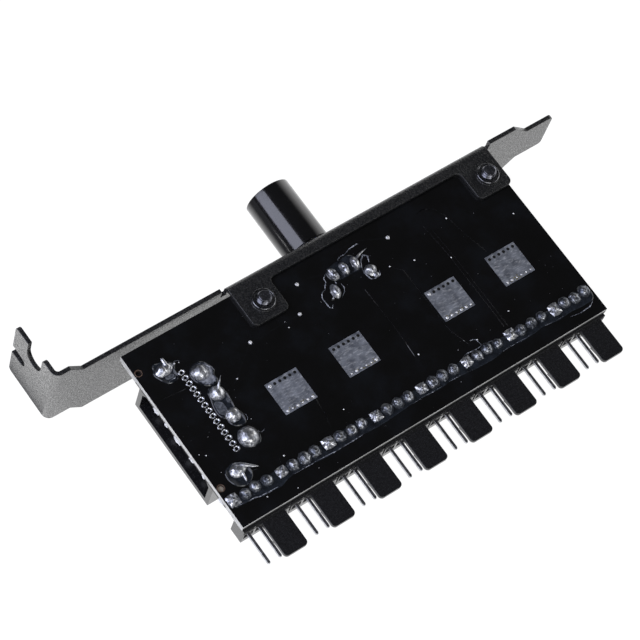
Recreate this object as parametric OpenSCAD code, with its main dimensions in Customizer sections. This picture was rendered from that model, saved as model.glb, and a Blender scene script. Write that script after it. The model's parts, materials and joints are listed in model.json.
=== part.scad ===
// Fan controller hub on an expansion slot bracket, in millimetres.
// Origin: centre of the screw notch, on the face of the tab that seats on the case.
// +X runs from the tab to the tongue, +Y points out of the case, towards the knob,
// and +Z is the soldered side of the board.

/* [Bracket] */
// Length from the outer face of the tab to the tip of the tongue
bracket_len = 120.02; // [110:0.01:140]
// Width of the plate
bracket_w = 18.42; // [17:0.01:20]
// Thickness of the steel sheet
sheet_t = 0.9; // [0.8:0.05:1.2]
// Outer radius of the tab bend
tab_bend_r = 1.6; // [1.6:0.1:3]
// Sideways offset of the plate at its tab end
plate_shift = 3; // [2:0.1:3.5]
// Distance from the tab to the step in the upper edge
upper_step_x = 2.6; // [2.2:0.1:6]
// Distance from the tab to the step in the lower edge
lower_step_x = 4.4; // [3:0.1:8]
// Width of the tongue
tongue_w = 10.19; // [8:0.01:12]
// Length of the straight part of the tongue
tongue_len = 6.9; // [4:0.1:9]
// Corner radius at the tip of the tongue
tongue_r = 0.9; // [0.4:0.1:2]
// Diameter of the hole that the control passes through
control_hole_d = 7.2; // [7.1:0.1:8.6]

/* [Tab] */
// Reach of the tab beyond the outer face of the plate
tab_reach = 11.9; // [11:0.1:13]
// Corner radius of the tab
tab_r = 0.9; // [0.4:0.1:1.2]
// Width of the screw notch
notch_w = 4.42; // [4:0.02:4.8]
// Distance from the outer face of the plate to the centre of the notch
notch_reach = 5.6; // [5.2:0.1:6]
// Depth of the notch centre below the upper edge
notch_drop = 3.9; // [3.5:0.1:4.5]
// Step from the ear down to the outer prong
prong_drop = 1.3; // [0.5:0.1:1.8]
// Width of the guide slot
slot_w = 2.4; // [1.6:0.1:3]
// Length of the guide slot
slot_len = 4.1; // [3:0.1:5]
// Distance from the notch centre down to the guide slot
slot_drop = 6.1; // [5.2:0.1:7]

/* [Flange] */
// Distance from the tab to the near end of the flange
flange_x = 37.8; // [36:0.1:39]
// Reach of the flange past the far end of the board
flange_overhang = 0.6; // [0:0.1:1.5]
// Width of the strip between the two ears
strip_w = 1.9; // [1.6:0.1:3]
// Reach of the ears from the inner face of the plate
ear_reach = 9.1; // [8.4:0.1:10]
// Width of each ear
ear_w = 8.2; // [7.6:0.1:9]
// Corner radius of the ears
ear_r = 1.2; // [0.6:0.1:2]
// Outer radius of the fold between the plate and the flange
fold_r = 1.5; // [1.3:0.1:1.8]
// Width of the relief cut at each end of the fold
relief_w = 1.2; // [0.6:0.1:1.6]
// Depth of the relief cut below the fold
relief_h = 0.5; // [0.3:0.1:1]
// Distance from the near end of the flange to the near screw
near_screw_x = 4.5; // [4:0.1:5]
// Distance from the far screw to the far end of the flange
far_screw_x = 3.6; // [3.4:0.1:4.4]
// Distance from the inner face of the plate to both screws
screw_reach = 5.3; // [5:0.1:5.6]
// Diameter of the drawn collar round each screw
collar_d = 4.6; // [4.4:0.1:5.2]
// Height of the drawn collar above the flange
collar_h = 0.7; // [0.3:0.1:1.2]

/* [Board screws] */
// Outer diameter of the thread
screw_d = 2.9; // [2.4:0.1:3]
// Radial clearance of the thread in the drawn collar
screw_clearance = 0.03; // [0.02:0.01:0.1]
// Length of the thread that stands proud of the collar
screw_proud = 1.4; // [0.5:0.1:2.5]
// Diameter of the head
screw_head_d = 5.4; // [4.8:0.1:6]
// Height of the head
screw_head_h = 1.7; // [1.4:0.1:2.4]
// Diameter of the screw holes in the board
screw_hole_d = 3.3; // [3.1:0.1:3.8]
// Width of the cross recess in the head
recess_w = 0.7; // [0.5:0.1:1]

/* [Board] */
// Length of the board along the bracket
board_l = 86.5; // [86.4:0.1:92]
// Depth of the board
board_w = 39.45; // [39:0.05:42]
// Thickness of the board
board_t = 1.6; // [1.2:0.1:2]
// Distance from the tab to the near end of the board
board_x = 13.1; // [12:0.1:14]
// Gap between the board and the plate
board_gap = 1.05; // [0.8:0.05:1.5]
// Thickness of the tinned copper on the board
tin_t = 0.05; // [0.03:0.01:0.1]
// Radius at the foot of a small solder joint
joint_r = 0.95; // [0.8:0.05:1.1]
// Height of a small solder joint
joint_h = 0.75; // [0.5:0.05:1]
// Height of every soldered lead above the board
lead_proud = 1; // [0.8:0.1:1.4]

/* [Fan headers] */
// Gap between two headers
header_gap = 0.49; // [0.2:0.01:1]
// Pitch of the pins in a header
pin_pitch = 2.54; // [2.5:0.01:2.56]
// Width of a square pin
pin_w = 0.6; // [0.5:0.02:0.7]
// Distance from the end of the board to the first pin
first_pin_x = 1.5; // [1.45:0.05:2]
// Distance from the edge of the board to the row of joints
pin_row_y = 5.25; // [4.8:0.05:6]
// Height of the pins off the board
pin_rise = 2.2; // [2.1:0.1:2.4]
// Reach of the pins beyond the face of the base
pin_reach = 6.7; // [5:0.1:7.4]
// Diameter of the plated holes for the pins
pin_hole_d = 1; // [0.95:0.05:1.2]
// Thickness of the base of a header
base_t = 3.2; // [2.6:0.1:3.6]
// Height of the base of a header
base_h = 4.6; // [4:0.1:5.4]
// Overhang of the base beyond the edge of the board
base_overhang = 0.6; // [0.3:0.1:1]
// Width of the locking tab
latch_w = 5.2; // [4.6:0.1:6]
// Thickness of the locking tab
latch_t = 0.85; // [0.6:0.05:1]
// Reach of the locking tab beyond the face of the base
latch_reach = 7.7; // [6:0.1:8.4]
// Corner radius of the locking tab
latch_r = 0.9; // [0.4:0.1:1.4]
// Height of the locking ramp
ramp_h = 0.5; // [0.3:0.05:0.6]

/* [Power connector] */
// Width of the shroud
shroud_w = 23.8; // [23.2:0.1:24]
// Height of the shroud
shroud_h = 9.1; // [8.4:0.1:9.8]
// Depth of the shroud
shroud_l = 9.1; // [8.6:0.1:9.3]
// Wall of the shroud
shroud_wall = 1.15; // [0.9:0.05:1.4]
// Thickness of the rear wall
shroud_rear = 1.5; // [1.2:0.1:2]
// Distance from the end of the board to the mouth
shroud_x = 0.8; // [0.6:0.1:1]
// Share of the free room between the header joints and the plate on the header side
power_share = 0.25; // [0.1:0.05:0.6]
// Pitch of the power pins
power_pitch = 5.08; // [5:0.01:5.1]
// Diameter of a power pin
power_pin_d = 2.1; // [1.8:0.1:2.3]
// Distance from the mouth to the tips of the power pins
power_tip = 2.2; // [1.5:0.1:3]
// Diameter of the soldered tail of a power pin
power_tail_d = 1.3; // [1:0.1:1.4]
// Distance from the end of the board to the row of power joints
power_row_x = 11.2; // [11:0.1:12]
// Key bevel in the two corners of the shroud
key_bevel = 2; // [1.5:0.1:2.2]
// Thickness of a board lock
lock_t = 0.4; // [0.3:0.05:0.5]
// Width of a board lock
lock_w = 1.4; // [1:0.1:1.5]
// Distance from the end of the board to the board locks
lock_x = 5.2; // [4:0.1:6]

/* [Control] */
// Distance from the end of the board to the control axis
control_x = 46.9; // [46:0.1:48]
// Height of the control axis off the board
axis_rise = 6; // [5.5:0.1:6.4]
// Width of the control body
control_w = 8.2; // [8.1:0.1:9]
// Distance from the axis to the far side of the control body
control_half_h = 5; // [4.5:0.1:5.6]
// Distance from the bracket side of the board to the row of terminals
terminal_inset = 6.45; // [6.05:0.05:6.6]
// Pitch of the terminals
terminal_pitch = 2.5; // [2.4:0.05:2.6]
// Thickness of the terminal wafer
wafer_t = 1.2; // [0.9:0.1:1.5]
// Thickness of the front block
front_t = 2; // [1.6:0.1:2.4]
// Depth of the rear cup
cup_l = 3.2; // [3.1:0.1:4]
// Thickness of the rear wall of the cup
cup_wall = 0.7; // [0.5:0.1:0.8]
// Diameter of the chamber in the cup
chamber_d = 7.4; // [7.3:0.1:7.6]
// Thickness of the steel frame round the control
frame_t = 0.4; // [0.3:0.05:0.5]
// Width of the two lugs of the frame
lug_w = 1.3; // [1:0.1:1.4]
// Diameter of the bushing
bushing_d = 6.9; // [6.8:0.05:7]
// Length of the bushing beyond the outer face of the plate
bushing_proud = 0.5; // [0.2:0.1:0.8]
// Diameter of the shaft
shaft_d = 6; // [5.8:0.05:6]
// Radial running clearance of the shaft
shaft_clearance = 0.04; // [0.02:0.01:0.08]
// Depth of the flat on the shaft
flat_depth = 1.5; // [1:0.1:1.6]
// Diameter of the rotor
rotor_d = 7; // [6.8:0.05:7.1]
// Thickness of the rotor
rotor_t = 1; // [0.8:0.1:1.1]

/* [Knob] */
// Diameter of the knob
knob_d = 9.7; // [8.8:0.1:11]
// Length of the knob
knob_len = 13.9; // [12:0.1:18]
// Gap between the knob and the plate
knob_gap = 1.2; // [1:0.1:2]
// Thickness of the end of the knob
knob_end_t = 2.4; // [1.6:0.1:4]
// Wall of the aluminium shell
knob_wall = 0.9; // [0.7:0.05:1.1]
// Chamfer on the rim of the knob
knob_chamfer = 0.3; // [0.2:0.1:0.6]

/* [Hidden] */
$fn = 64;

// Extra length of a cut past the face that it opens
cut = 1;
// Levels of the bracket
plate_out = -notch_reach;
plate_in = plate_out - sheet_t;
upper_edge = notch_drop - plate_shift;
lower_edge = upper_edge - bracket_w;
tab_top = notch_drop;
tab_bottom = notch_drop - bracket_w;
tip_x = bracket_len - sheet_t;
tongue_step = (bracket_w - tongue_w) / 2;
tongue_x = tip_x - tongue_len;
flange_end = board_x + board_l + flange_overhang;
flange_len = flange_end - flange_x;
near_screw = flange_x + near_screw_x;
far_screw = flange_end - far_screw_x;
screw_y = plate_in - screw_reach;
tapped_d = screw_d + 2 * screw_clearance;
// Levels of the board: its soldered face carries the flange
board_top = upper_edge - sheet_t;
board_under = board_top - board_t;
board_edge = plate_in - board_gap;
board_y = board_edge - board_w;
// One header for each fan_header node, spread evenly along the board
header_count = 8;
header_pitch = board_l / header_count;
base_l = header_pitch - header_gap;
base_margin = (base_l - 3 * pin_pitch) / 2;
// Levels of a fan header, from the edge of the board
base_front = -base_overhang;
base_back = base_front + base_t;
pin_z = board_under - pin_rise;
latch_mid = 2 * pin_pitch;
pin_bevel = pin_w / 4;
pin_dimple_w = 1.5;
pin_dimple_t = 0.4;
// Room round a soldered lead in its hole
hole_margin = 0.2;
// Levels of the power connector, which stands in the room behind the header joints
lock_joint_r = 1.2;
lock_y = shroud_w / 2 + lock_t / 2;
power_room_y = pin_row_y + joint_r + lock_joint_r;
power_room = board_w + board_gap - power_room_y - 2 * lock_y - lock_t / 2;
power_y = power_room_y + lock_y + power_room * power_share;
shroud_back = shroud_x + shroud_l;
power_z = board_under - shroud_h / 2;
tail_hole_d = power_tail_d + 2 * hole_margin;
lock_hole_d = lock_w + 2 * hole_margin;
lock_proud = 0.6;
big_joint_r = 1.75;
mid_joint_r = 1.3;
big_joint_h = 1.5;
mid_joint_h = 1.2;
lock_joint_h = 0.9;
// Levels of the control, measured from the edge of the board
axis_z = board_under - axis_rise;
terminal_y = board_w - terminal_inset;
wafer_back = terminal_y - wafer_t / 2;
wafer_front = terminal_y + wafer_t / 2;
block_front = wafer_front + front_t;
cup_back = wafer_back - cup_l;
chamber_back = cup_back + cup_wall;
end_play = 0.1;
lug_x = (control_w + frame_t) / 2;
lug_y = cup_back + lug_w * 0.7;
lug_hole_d = lug_w + 2 * hole_margin;
terminal_w = 0.8;
terminal_t = 0.4;
track_t = 0.08;
brush_gap = 0.04;
brush_w = 2;
wafer_hole_d = shaft_d + 6 * shaft_clearance;
rotor_back = chamber_back + 2 * end_play;
rotor_front = rotor_back + rotor_t;
// Levels of the knob, measured from the outer face of the plate
plate_out_board = plate_out - board_y;
knob_back = plate_out_board + knob_gap;
knob_front = knob_back + knob_len;
shaft_end = knob_front - knob_end_t - end_play;
sleeve_d = knob_d - 2 * knob_wall;
// The four tinned fields under the power transistors
pad_w = 7.2;
pad_h = 7.1;
pad_y = 17.5;
pad_xs = board_l * [0.268, 0.439, 0.703, 0.875];
pad_via_d = 0.5;
pad_via_pitch = 1.15;
pad_via_inset = 0.75;
// The row of plated holes that is left open
open_count = 15;
open_pitch = 1.27;
open_x = 7.85;
open_offset = 9.38;
open_y = power_y + open_offset;
open_hole_d = 0.7;
open_ring_d = 1.2;
// Two plain holes beside the power connector
peg_hole_d = 1.2;
peg_hole_x = 0.95;
peg_span = 26.6;
// Power transistors: moulded body, and the place of its middle along the board depth
transistor_w = 6.6;
transistor_l = 6.1;
transistor_h = 2.3;
transistor_tab_t = 0.5;
transistor_y = pad_y - 0.9;
// Control chip in a small outline package
chip_l = 8.7;
chip_w = 3.9;
chip_h = 1.5;
chip_lift = 0.15;
chip_x = (pad_xs[1] + pad_xs[2]) / 2;
chip_y = pad_y;
// Places of the small chips on the component side
resistor_l = 2;
resistor_w = 1.25;
resistor_t = 0.5;
capacitor_l = 3.2;
capacitor_w = 1.6;
capacitor_t = 1.2;
header_resistor_gap = 2.65;
middle_resistor_gap = 4.5;
capacitor_gap = 8;
header_resistor_y = pin_row_y + header_resistor_gap;
middle_resistor_y = header_resistor_y + middle_resistor_gap;
middle_resistor_spread = 3.9;
middle_resistor_xs = [
    (pad_xs[0] + pad_xs[1]) / 2, chip_x - middle_resistor_spread, chip_x,
    chip_x + middle_resistor_spread, (pad_xs[2] + pad_xs[3]) / 2
];
capacitor_y = pad_y + capacitor_gap;
// Filled vias as x, y and diameter: y from the headers' side, or from the bracket side
near_vias = [
    [16, 24.7, 0.4], [66.5, 24.5, 0.35], [48.5, 11.2, 0.4], [14.5, 7.6, 0.45],
    [7.2, 2.6, 0.35], [29.5, 9.4, 0.35], [69.2, 9.6, 0.35], [59.9, 27.7, 0.45]
];
far_vias = [
    [37.1, 4.45, 0.7], [33.9, 9.85, 0.7], [22.4, 9.85, 0.7], [58.3, 5.15, 0.75],
    [54.9, 10.45, 0.4], [30.5, 11.05, 0.35]
];
// Two vias kept clear of the far ear: x back from the ear, and y from the bracket side
ear_vias = [[8, 7.55, 0.45], [-4.3, 13.45, 0.4]];

// Children placed on the board: x and y from its near corner
module on_board() {
    translate([board_x, board_y, 0])
        children();
}

// Flat outline stood up as a sheet: outline x runs along X and outline y along Z
module sheet_xz(y0, t) {
    translate([0, y0 + t, 0])
        rotate([90, 0, 0])
            linear_extrude(t)
                children();
}

// Flat outline stood up across X: outline x runs along Y and outline y along Z
module sheet_yz(x0, t) {
    translate([x0, 0, 0])
        rotate([90, 0, 90])
            linear_extrude(t)
                children();
}

// Cylinder along Y, from y0 for length l
module rod_y(d, y0, l) {
    translate([0, y0 + l, 0])
        rotate([90, 0, 0])
            cylinder(d = d, h = l);
}

// Flat rectangle with the four corners rounded
module rounded(w, h, r) {
    translate([r, 0])
        square([w - 2 * r, h]);
    translate([0, r])
        square([w, h - 2 * r]);
    for (x = [r, w - r], y = [r, h - r])
        translate([x, y])
            circle(r);
}

// Plate with the stepped edges at the tab end and the tongue at the other
module plate_outline() {
    start = tab_bend_r - sheet_t;
    polygon([
        [start, tab_bottom], [lower_step_x, tab_bottom],
        [lower_step_x + plate_shift, lower_edge], [tongue_x - tongue_step, lower_edge],
        [tongue_x, lower_edge + tongue_step], [tip_x - tongue_r, lower_edge + tongue_step],
        [tip_x - tongue_r, upper_edge - tongue_step], [tongue_x, upper_edge - tongue_step],
        [tongue_x - tongue_step, upper_edge], [upper_step_x + plate_shift, upper_edge],
        [upper_step_x, tab_top], [start, tab_top]
    ]);
    translate([tongue_x, lower_edge + tongue_step])
        rounded(tongue_len, tongue_w, tongue_r);
}

// Tab from the bend outwards, with the ear, the prongs, the notch and the guide slot
module tab_outline() {
    start = plate_in + tab_bend_r;
    tip = plate_out + tab_reach;
    difference() {
        union() {
            translate([start - tab_r, tab_bottom])
                rounded(tip - start + tab_r, bracket_w - prong_drop, tab_r);
            translate([start - tab_r, tab_bottom])
                rounded(-start + tab_r - notch_w / 2, bracket_w, tab_r);
            translate([start, tab_bottom])
                square([tab_r, bracket_w]);
        }
        circle(d = notch_w);
        translate([-notch_w / 2, 0])
            square([notch_w, tab_top + cut]);
        translate([tip - slot_len + slot_w / 2, -slot_drop])
            circle(d = slot_w);
        translate([tip - slot_len + slot_w / 2, -slot_drop - slot_w / 2])
            square([slot_len, slot_w]);
        translate([start - tab_r - cut, tab_bottom - cut])
            square([tab_r + cut, bracket_w + 2 * cut]);
    }
}

// Ears and strip of the flange, seen from the soldered side
module flange_outline() {
    fold_y = plate_out - fold_r;
    strip_y = plate_in - strip_w;
    ear_y = plate_in - ear_reach;
    translate([flange_x, strip_y])
        square([flange_len, fold_y - strip_y]);
    for (x = [flange_x, flange_end - ear_w]) {
        translate([x, ear_y])
            rounded(ear_w, fold_y - ear_y, ear_r);
        translate([x, fold_y - ear_r])
            square([ear_w, ear_r]);
    }
    ear_fillet(flange_x + ear_w, strip_y, 1);
    ear_fillet(flange_end - ear_w, strip_y, -1);
}

// Fillet between an ear and the strip
module ear_fillet(x, y, side) {
    difference() {
        translate([side > 0 ? x : x - ear_r, y - ear_r])
            square([ear_r, ear_r]);
        translate([x + side * ear_r, y - ear_r])
            circle(ear_r);
    }
}

// Quarter of a bent sheet, from +X round to +Y
module quarter_bend(r, t) {
    intersection() {
        difference() {
            circle(r);
            circle(r - t);
        }
        square(r);
    }
}

// One piece of bent and punched steel
module bracket() {
    color("dimgray")
        difference() {
            union() {
                difference() {
                    sheet_xz(plate_in, sheet_t)
                        plate_outline();
                    translate([flange_x - relief_w, plate_in - cut, upper_edge - fold_r])
                        cube([flange_len + 2 * relief_w, sheet_t + 2 * cut, fold_r + cut]);
                    for (x = [flange_x - relief_w, flange_end])
                        translate([x, plate_in - cut, upper_edge - fold_r - relief_h])
                            cube([relief_w, sheet_t + 2 * cut, fold_r]);
                }
                translate([tab_bend_r - sheet_t, plate_in + tab_bend_r, tab_bottom])
                    rotate([0, 0, 180])
                        linear_extrude(bracket_w)
                            quarter_bend(tab_bend_r, sheet_t);
                sheet_yz(-sheet_t, sheet_t)
                    tab_outline();
                sheet_yz(flange_x, flange_len)
                    translate([plate_out - fold_r, upper_edge - fold_r])
                        quarter_bend(fold_r, sheet_t);
                translate([0, 0, board_top])
                    linear_extrude(sheet_t)
                        flange_outline();
                for (x = [near_screw, far_screw])
                    translate([x, screw_y, upper_edge])
                        cylinder(d = collar_d, h = collar_h);
            }
            for (x = [near_screw, far_screw])
                translate([x, screw_y, board_top - cut])
                    cylinder(d = tapped_d, h = sheet_t + collar_h + 2 * cut);
            translate([board_x + control_x, 0, axis_z])
                rod_y(control_hole_d, plate_in - cut, sheet_t + 2 * cut);
        }
}

// Two pan head screws, driven from the component side
module board_screws() {
    tip = upper_edge + collar_h + screw_proud;
    bevel = 0.4;
    recess_l = screw_head_d * 0.6;
    color("black")
        for (x = [near_screw, far_screw])
            translate([x, screw_y, 0])
                difference() {
                    union() {
                        translate([0, 0, board_under])
                            cylinder(d = screw_d, h = tip - bevel - board_under);
                        translate([0, 0, tip - bevel])
                            cylinder(d1 = screw_d, d2 = screw_d - 2 * bevel, h = bevel);
                        translate([0, 0, board_under - screw_head_h])
                            pan_head();
                    }
                    for (a = [0, 90])
                        rotate([0, 0, a])
                            translate([-recess_l / 2, -recess_w / 2, board_under - screw_head_h - cut])
                                cube([recess_l, recess_w, screw_head_h * 0.6 + cut]);
                }
}

// Pan head with a rounded crown, lying below its seat
module pan_head() {
    crown = screw_head_h * 0.6;
    rotate_extrude()
        union() {
            translate([0, crown])
                square([screw_head_d / 2, screw_head_h - crown]);
            square([screw_head_d / 2 - crown, crown]);
            intersection() {
                translate([screw_head_d / 2 - crown, crown])
                    circle(crown);
                square([screw_head_d / 2, crown]);
            }
        }
}

// Bare board with every drilled hole
module circuit_board() {
    color([0.06, 0.06, 0.07])
        difference() {
            on_board()
                translate([0, 0, board_under])
                    cube([board_l, board_w, board_t]);
            for (x = [near_screw, far_screw])
                translate([x, screw_y, 0])
                    board_hole(screw_hole_d);
            on_board() {
                for (h = [0:header_count - 1], p = [0:3])
                    translate([pin_x(h, p), pin_row_y, 0])
                        board_hole(pin_hole_d);
                for (i = [0:3])
                    translate([power_row_x, power_pin_y(i), 0])
                        board_hole(tail_hole_d);
                for (s = [-1, 1]) {
                    translate([lock_x, power_y + s * lock_y, 0])
                        board_hole(lock_hole_d);
                    translate([peg_hole_x, power_y + s * peg_span / 2, 0])
                        board_hole(peg_hole_d);
                    translate([control_x + s * lug_x, lug_y, 0])
                        board_hole(lug_hole_d);
                }
                for (i = [-1:1])
                    translate([control_x + i * terminal_pitch, terminal_y, 0])
                        board_hole(terminal_w + 2 * hole_margin);
                for (i = [0:open_count - 1])
                    translate([open_x, open_y - i * open_pitch, 0])
                        board_hole(open_hole_d);
                for (x = pad_xs)
                    translate([x, pad_y, 0])
                        pad_vias();
            }
        }
}

// Hole right through the board
module board_hole(d) {
    translate([0, 0, board_under - cut])
        cylinder(d = d, h = board_t + 2 * cut);
}

// Row of open vias along the bracket side of a thermal pad
module pad_vias() {
    for (i = [-2.5:2.5])
        translate([i * pad_via_pitch, pad_h / 2 - pad_via_inset, 0])
            board_hole(pad_via_d);
}

function pin_x(h, p) = first_pin_x + h * header_pitch + p * pin_pitch;
function power_pin_y(i) = power_y + (1.5 - i) * power_pitch;

// Tinned copper fields that carry off the heat of the power transistors
module thermal_pads() {
    color("slategray")
        on_board()
            for (x = pad_xs)
                translate([x, pad_y, 0])
                    difference() {
                        translate([-pad_w / 2, -pad_h / 2, board_top])
                            cube([pad_w, pad_h, tin_t]);
                        pad_vias();
                    }
}

// Eyelets of tinned copper in the row of open holes
module plated_holes() {
    color("silver")
        on_board()
            for (i = [0:open_count - 1])
                translate([open_x, open_y - i * open_pitch, 0])
                    eyelet(open_hole_d, open_ring_d);
}

// Ring on both faces of the board and a lining between them
module eyelet(hole_d, ring_d) {
    difference() {
        union() {
            translate([0, 0, board_under])
                cylinder(d = hole_d, h = board_t);
            for (z = [board_top, board_under - tin_t])
                translate([0, 0, z])
                    cylinder(d = ring_d, h = tin_t);
        }
        board_hole(hole_d - 2 * tin_t);
    }
}

function far_side_vias() = concat(
    [for (v = far_vias) [v[0], board_w - v[1], v[2]]],
    [for (v = ear_vias) [flange_end - ear_w - board_x - v[0], board_w - v[1], v[2]]]
);

// Small round vias closed with solder
module tinned_vias() {
    color("white")
        on_board()
            for (v = concat(near_vias, far_side_vias()))
                translate([v[0], v[1], board_top])
                    cylinder(d = v[2], h = tin_t);
}

// Right-angle header: base, locking tab over the third pin, and the locking ramp
module fan_header(h) {
    x0 = pin_x(h, 0);
    latch_x = x0 + latch_mid - latch_w / 2;
    latch_y = base_front - latch_reach;
    ramp_y = base_front - latch_reach * 0.5;
    color([0.12, 0.12, 0.13])
        on_board()
            difference() {
                union() {
                    translate([x0 - base_margin, base_front, board_under - base_h])
                        cube([base_l, base_t, base_h]);
                    translate([latch_x, latch_y, board_under - latch_t])
                        linear_extrude(latch_t)
                            rounded(latch_w, latch_reach + base_t, latch_r);
                    sheet_yz(latch_x + latch_r, latch_w - 2 * latch_r)
                        polygon([
                            [ramp_y, board_under - latch_t],
                            [ramp_y, board_under - latch_t - ramp_h],
                            [ramp_y - 3 * ramp_h, board_under - latch_t]
                        ]);
                }
                for (p = [0:3])
                    translate([pin_x(h, p), 0, pin_z]) {
                        translate([-pin_w / 2, base_front - cut, -pin_w / 2])
                            cube([pin_w, base_t + 2 * cut, pin_w]);
                        translate([-pin_dimple_w / 2, base_front - cut, -pin_dimple_w / 2])
                            cube([pin_dimple_w, cut + pin_dimple_t, pin_dimple_w]);
                    }
            }
}

// Four bent square pins with bevelled tips
module fan_header_pins(h) {
    tip = base_front - pin_reach;
    low = pin_z - pin_w / 2;
    high = pin_z + pin_w / 2;
    top = board_top + lead_proud;
    far = pin_row_y + pin_w / 2;
    near = pin_row_y - pin_w / 2;
    color("silver")
        on_board()
            for (p = [0:3])
                translate([pin_x(h, p), 0, 0])
                    intersection() {
                        sheet_yz(-pin_w / 2, pin_w)
                            polygon([
                                [tip, low + pin_bevel], [tip + 2 * pin_bevel, low],
                                [far - pin_bevel, low], [far, low + pin_bevel],
                                [far, top - pin_bevel], [far - pin_bevel, top],
                                [near + pin_bevel, top], [near, top - pin_bevel],
                                [near, high], [tip + 2 * pin_bevel, high],
                                [tip, high - pin_bevel]
                            ]);
                        translate([0, 0, low - cut])
                            linear_extrude(top - low + 2 * cut)
                                polygon([
                                    [-pin_w / 2, tip + 2 * pin_bevel], [-pin_w / 2 + pin_bevel, tip],
                                    [pin_w / 2 - pin_bevel, tip], [pin_w / 2, tip + 2 * pin_bevel],
                                    [pin_w / 2, far], [-pin_w / 2, far]
                                ]);
                    }
}

// Solder fillet round a lead: a foot, a hollow flank and a cap round the lead
module solder(foot_r, cap_r, h) {
    rotate_extrude()
        polygon([
            [0, 0], [foot_r, 0], [foot_r * 0.96, h * 0.12], [(foot_r + cap_r) * 0.52, h * 0.45],
            [cap_r * 1.15, h * 0.8], [cap_r * 0.8, h], [0, h]
        ]);
}

// Solder fillets of the header pins
module fan_header_joints() {
    color("gainsboro")
        on_board()
            for (h = [0:header_count - 1], p = [0:3])
                translate([pin_x(h, p), pin_row_y, board_top])
                    difference() {
                        solder(joint_r, pin_w * 0.9, joint_h);
                        translate([-pin_w / 2, -pin_w / 2, -cut])
                            cube([pin_w, pin_w, joint_h + 2 * cut]);
                    }
}

// Mouth of the power connector: a rectangle with two bevelled corners
module key_outline(w, h, bevel) {
    polygon([
        [-w / 2, -h / 2], [w / 2, -h / 2], [w / 2, h / 2 - bevel],
        [w / 2 - bevel, h / 2], [bevel - w / 2, h / 2], [-w / 2, h / 2 - bevel]
    ]);
}

// Open shroud that takes the power plug, with a shallow channel over the plated holes
module power_connector_shroud() {
    inner_w = shroud_w - 2 * shroud_wall;
    inner_h = shroud_h - 2 * shroud_wall;
    relief = open_ring_d + 2 * hole_margin;
    color([0.12, 0.12, 0.13])
        on_board()
            translate([0, power_y, power_z])
                difference() {
                    translate([shroud_x, -shroud_w / 2, -shroud_h / 2])
                        cube([shroud_l, shroud_w, shroud_h]);
                    sheet_yz(shroud_x - cut, shroud_l - shroud_rear + cut)
                        key_outline(inner_w, inner_h, key_bevel);
                    translate([open_x - relief / 2, -shroud_w / 2 - cut, shroud_h / 2 - 2 * tin_t])
                        cube([relief, shroud_w + 2 * cut, 2 * tin_t + cut]);
                    for (i = [0:3])
                        translate([shroud_x, power_pin_y(i) - power_y, 0])
                            rotate([0, 90, 0])
                                cylinder(d = power_pin_d, h = shroud_l + cut);
                }
}

// Round pins with a domed tip, bent up behind the shroud into the board
module power_connector_pins() {
    tip = shroud_x + power_tip;
    tail_r = power_tail_d / 2;
    color("silver")
        on_board()
            for (i = [0:3])
                translate([0, power_pin_y(i), power_z]) {
                    translate([tip + power_pin_d / 2, 0, 0])
                        rotate([0, 90, 0])
                            cylinder(d = power_pin_d, h = shroud_back - tip - power_pin_d / 2);
                    translate([tip + power_pin_d / 2, 0, 0])
                        sphere(d = power_pin_d);
                    translate([shroud_back, 0, 0])
                        rotate([0, 90, 0])
                            cylinder(d = power_tail_d, h = power_row_x - shroud_back);
                    translate([power_row_x, 0, 0])
                        sphere(d = power_tail_d);
                    translate([power_row_x, 0, 0])
                        cylinder(r = tail_r, h = board_top + lead_proud - power_z);
                }
}

// Two tin-plated steel locks on the ends of the shroud
module power_connector_locks() {
    foot = power_z - lock_w;
    color("silver")
        on_board()
            for (s = [-1, 1])
                translate([lock_x - lock_w / 2, power_y + s * lock_y - lock_t / 2, foot])
                    cube([lock_w, lock_t, board_top + lock_proud - foot]);
}

// Large solder joints of the power pins and of the board locks
module power_joints() {
    foot_rs = [big_joint_r, mid_joint_r, mid_joint_r, big_joint_r];
    heights = [big_joint_h, mid_joint_h, mid_joint_h, big_joint_h];
    color("gainsboro")
        on_board() {
            for (i = [0:3])
                translate([power_row_x, power_pin_y(i), board_top])
                    difference() {
                        solder(foot_rs[i], foot_rs[i] * 0.6, heights[i]);
                        translate([0, 0, -cut])
                            cylinder(d = power_tail_d, h = lead_proud + cut);
                    }
            for (s = [-1, 1])
                translate([lock_x, power_y + s * lock_y, board_top])
                    difference() {
                        solder(lock_joint_r, lock_w * 0.65, lock_joint_h);
                        translate([-lock_w / 2, -lock_t / 2, -cut])
                            cube([lock_w, lock_t, lock_proud + cut]);
                    }
        }
}

// Children on the control axis, y still measured from the edge of the board
module on_axis() {
    on_board()
        translate([control_x, 0, axis_z])
            children();
}

// Body slab of the control between two levels along Y
module control_slab(y0, t) {
    translate([-control_w / 2, y0, -control_half_h])
        cube([control_w, t, control_half_h + axis_rise]);
}

// Die-cast front block with the bushing that guides the shaft
module control_bushing() {
    bore = shaft_d + 2 * shaft_clearance;
    bushing_end = plate_out_board + bushing_proud;
    color("darkgray")
        on_axis()
            difference() {
                union() {
                    control_slab(wafer_front, front_t);
                    rod_y(bushing_d, block_front, bushing_end - block_front);
                }
                rod_y(bore, wafer_front - cut, bushing_end - wafer_front + 2 * cut);
            }
}

// Phenolic wafer that carries the track and the terminals
module control_wafer() {
    color("peru")
        on_axis()
            difference() {
                control_slab(wafer_back, wafer_t);
                rod_y(wafer_hole_d, wafer_back - cut, wafer_t + 2 * cut);
                for (i = [-1:1])
                    terminal(i);
            }
}

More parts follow.
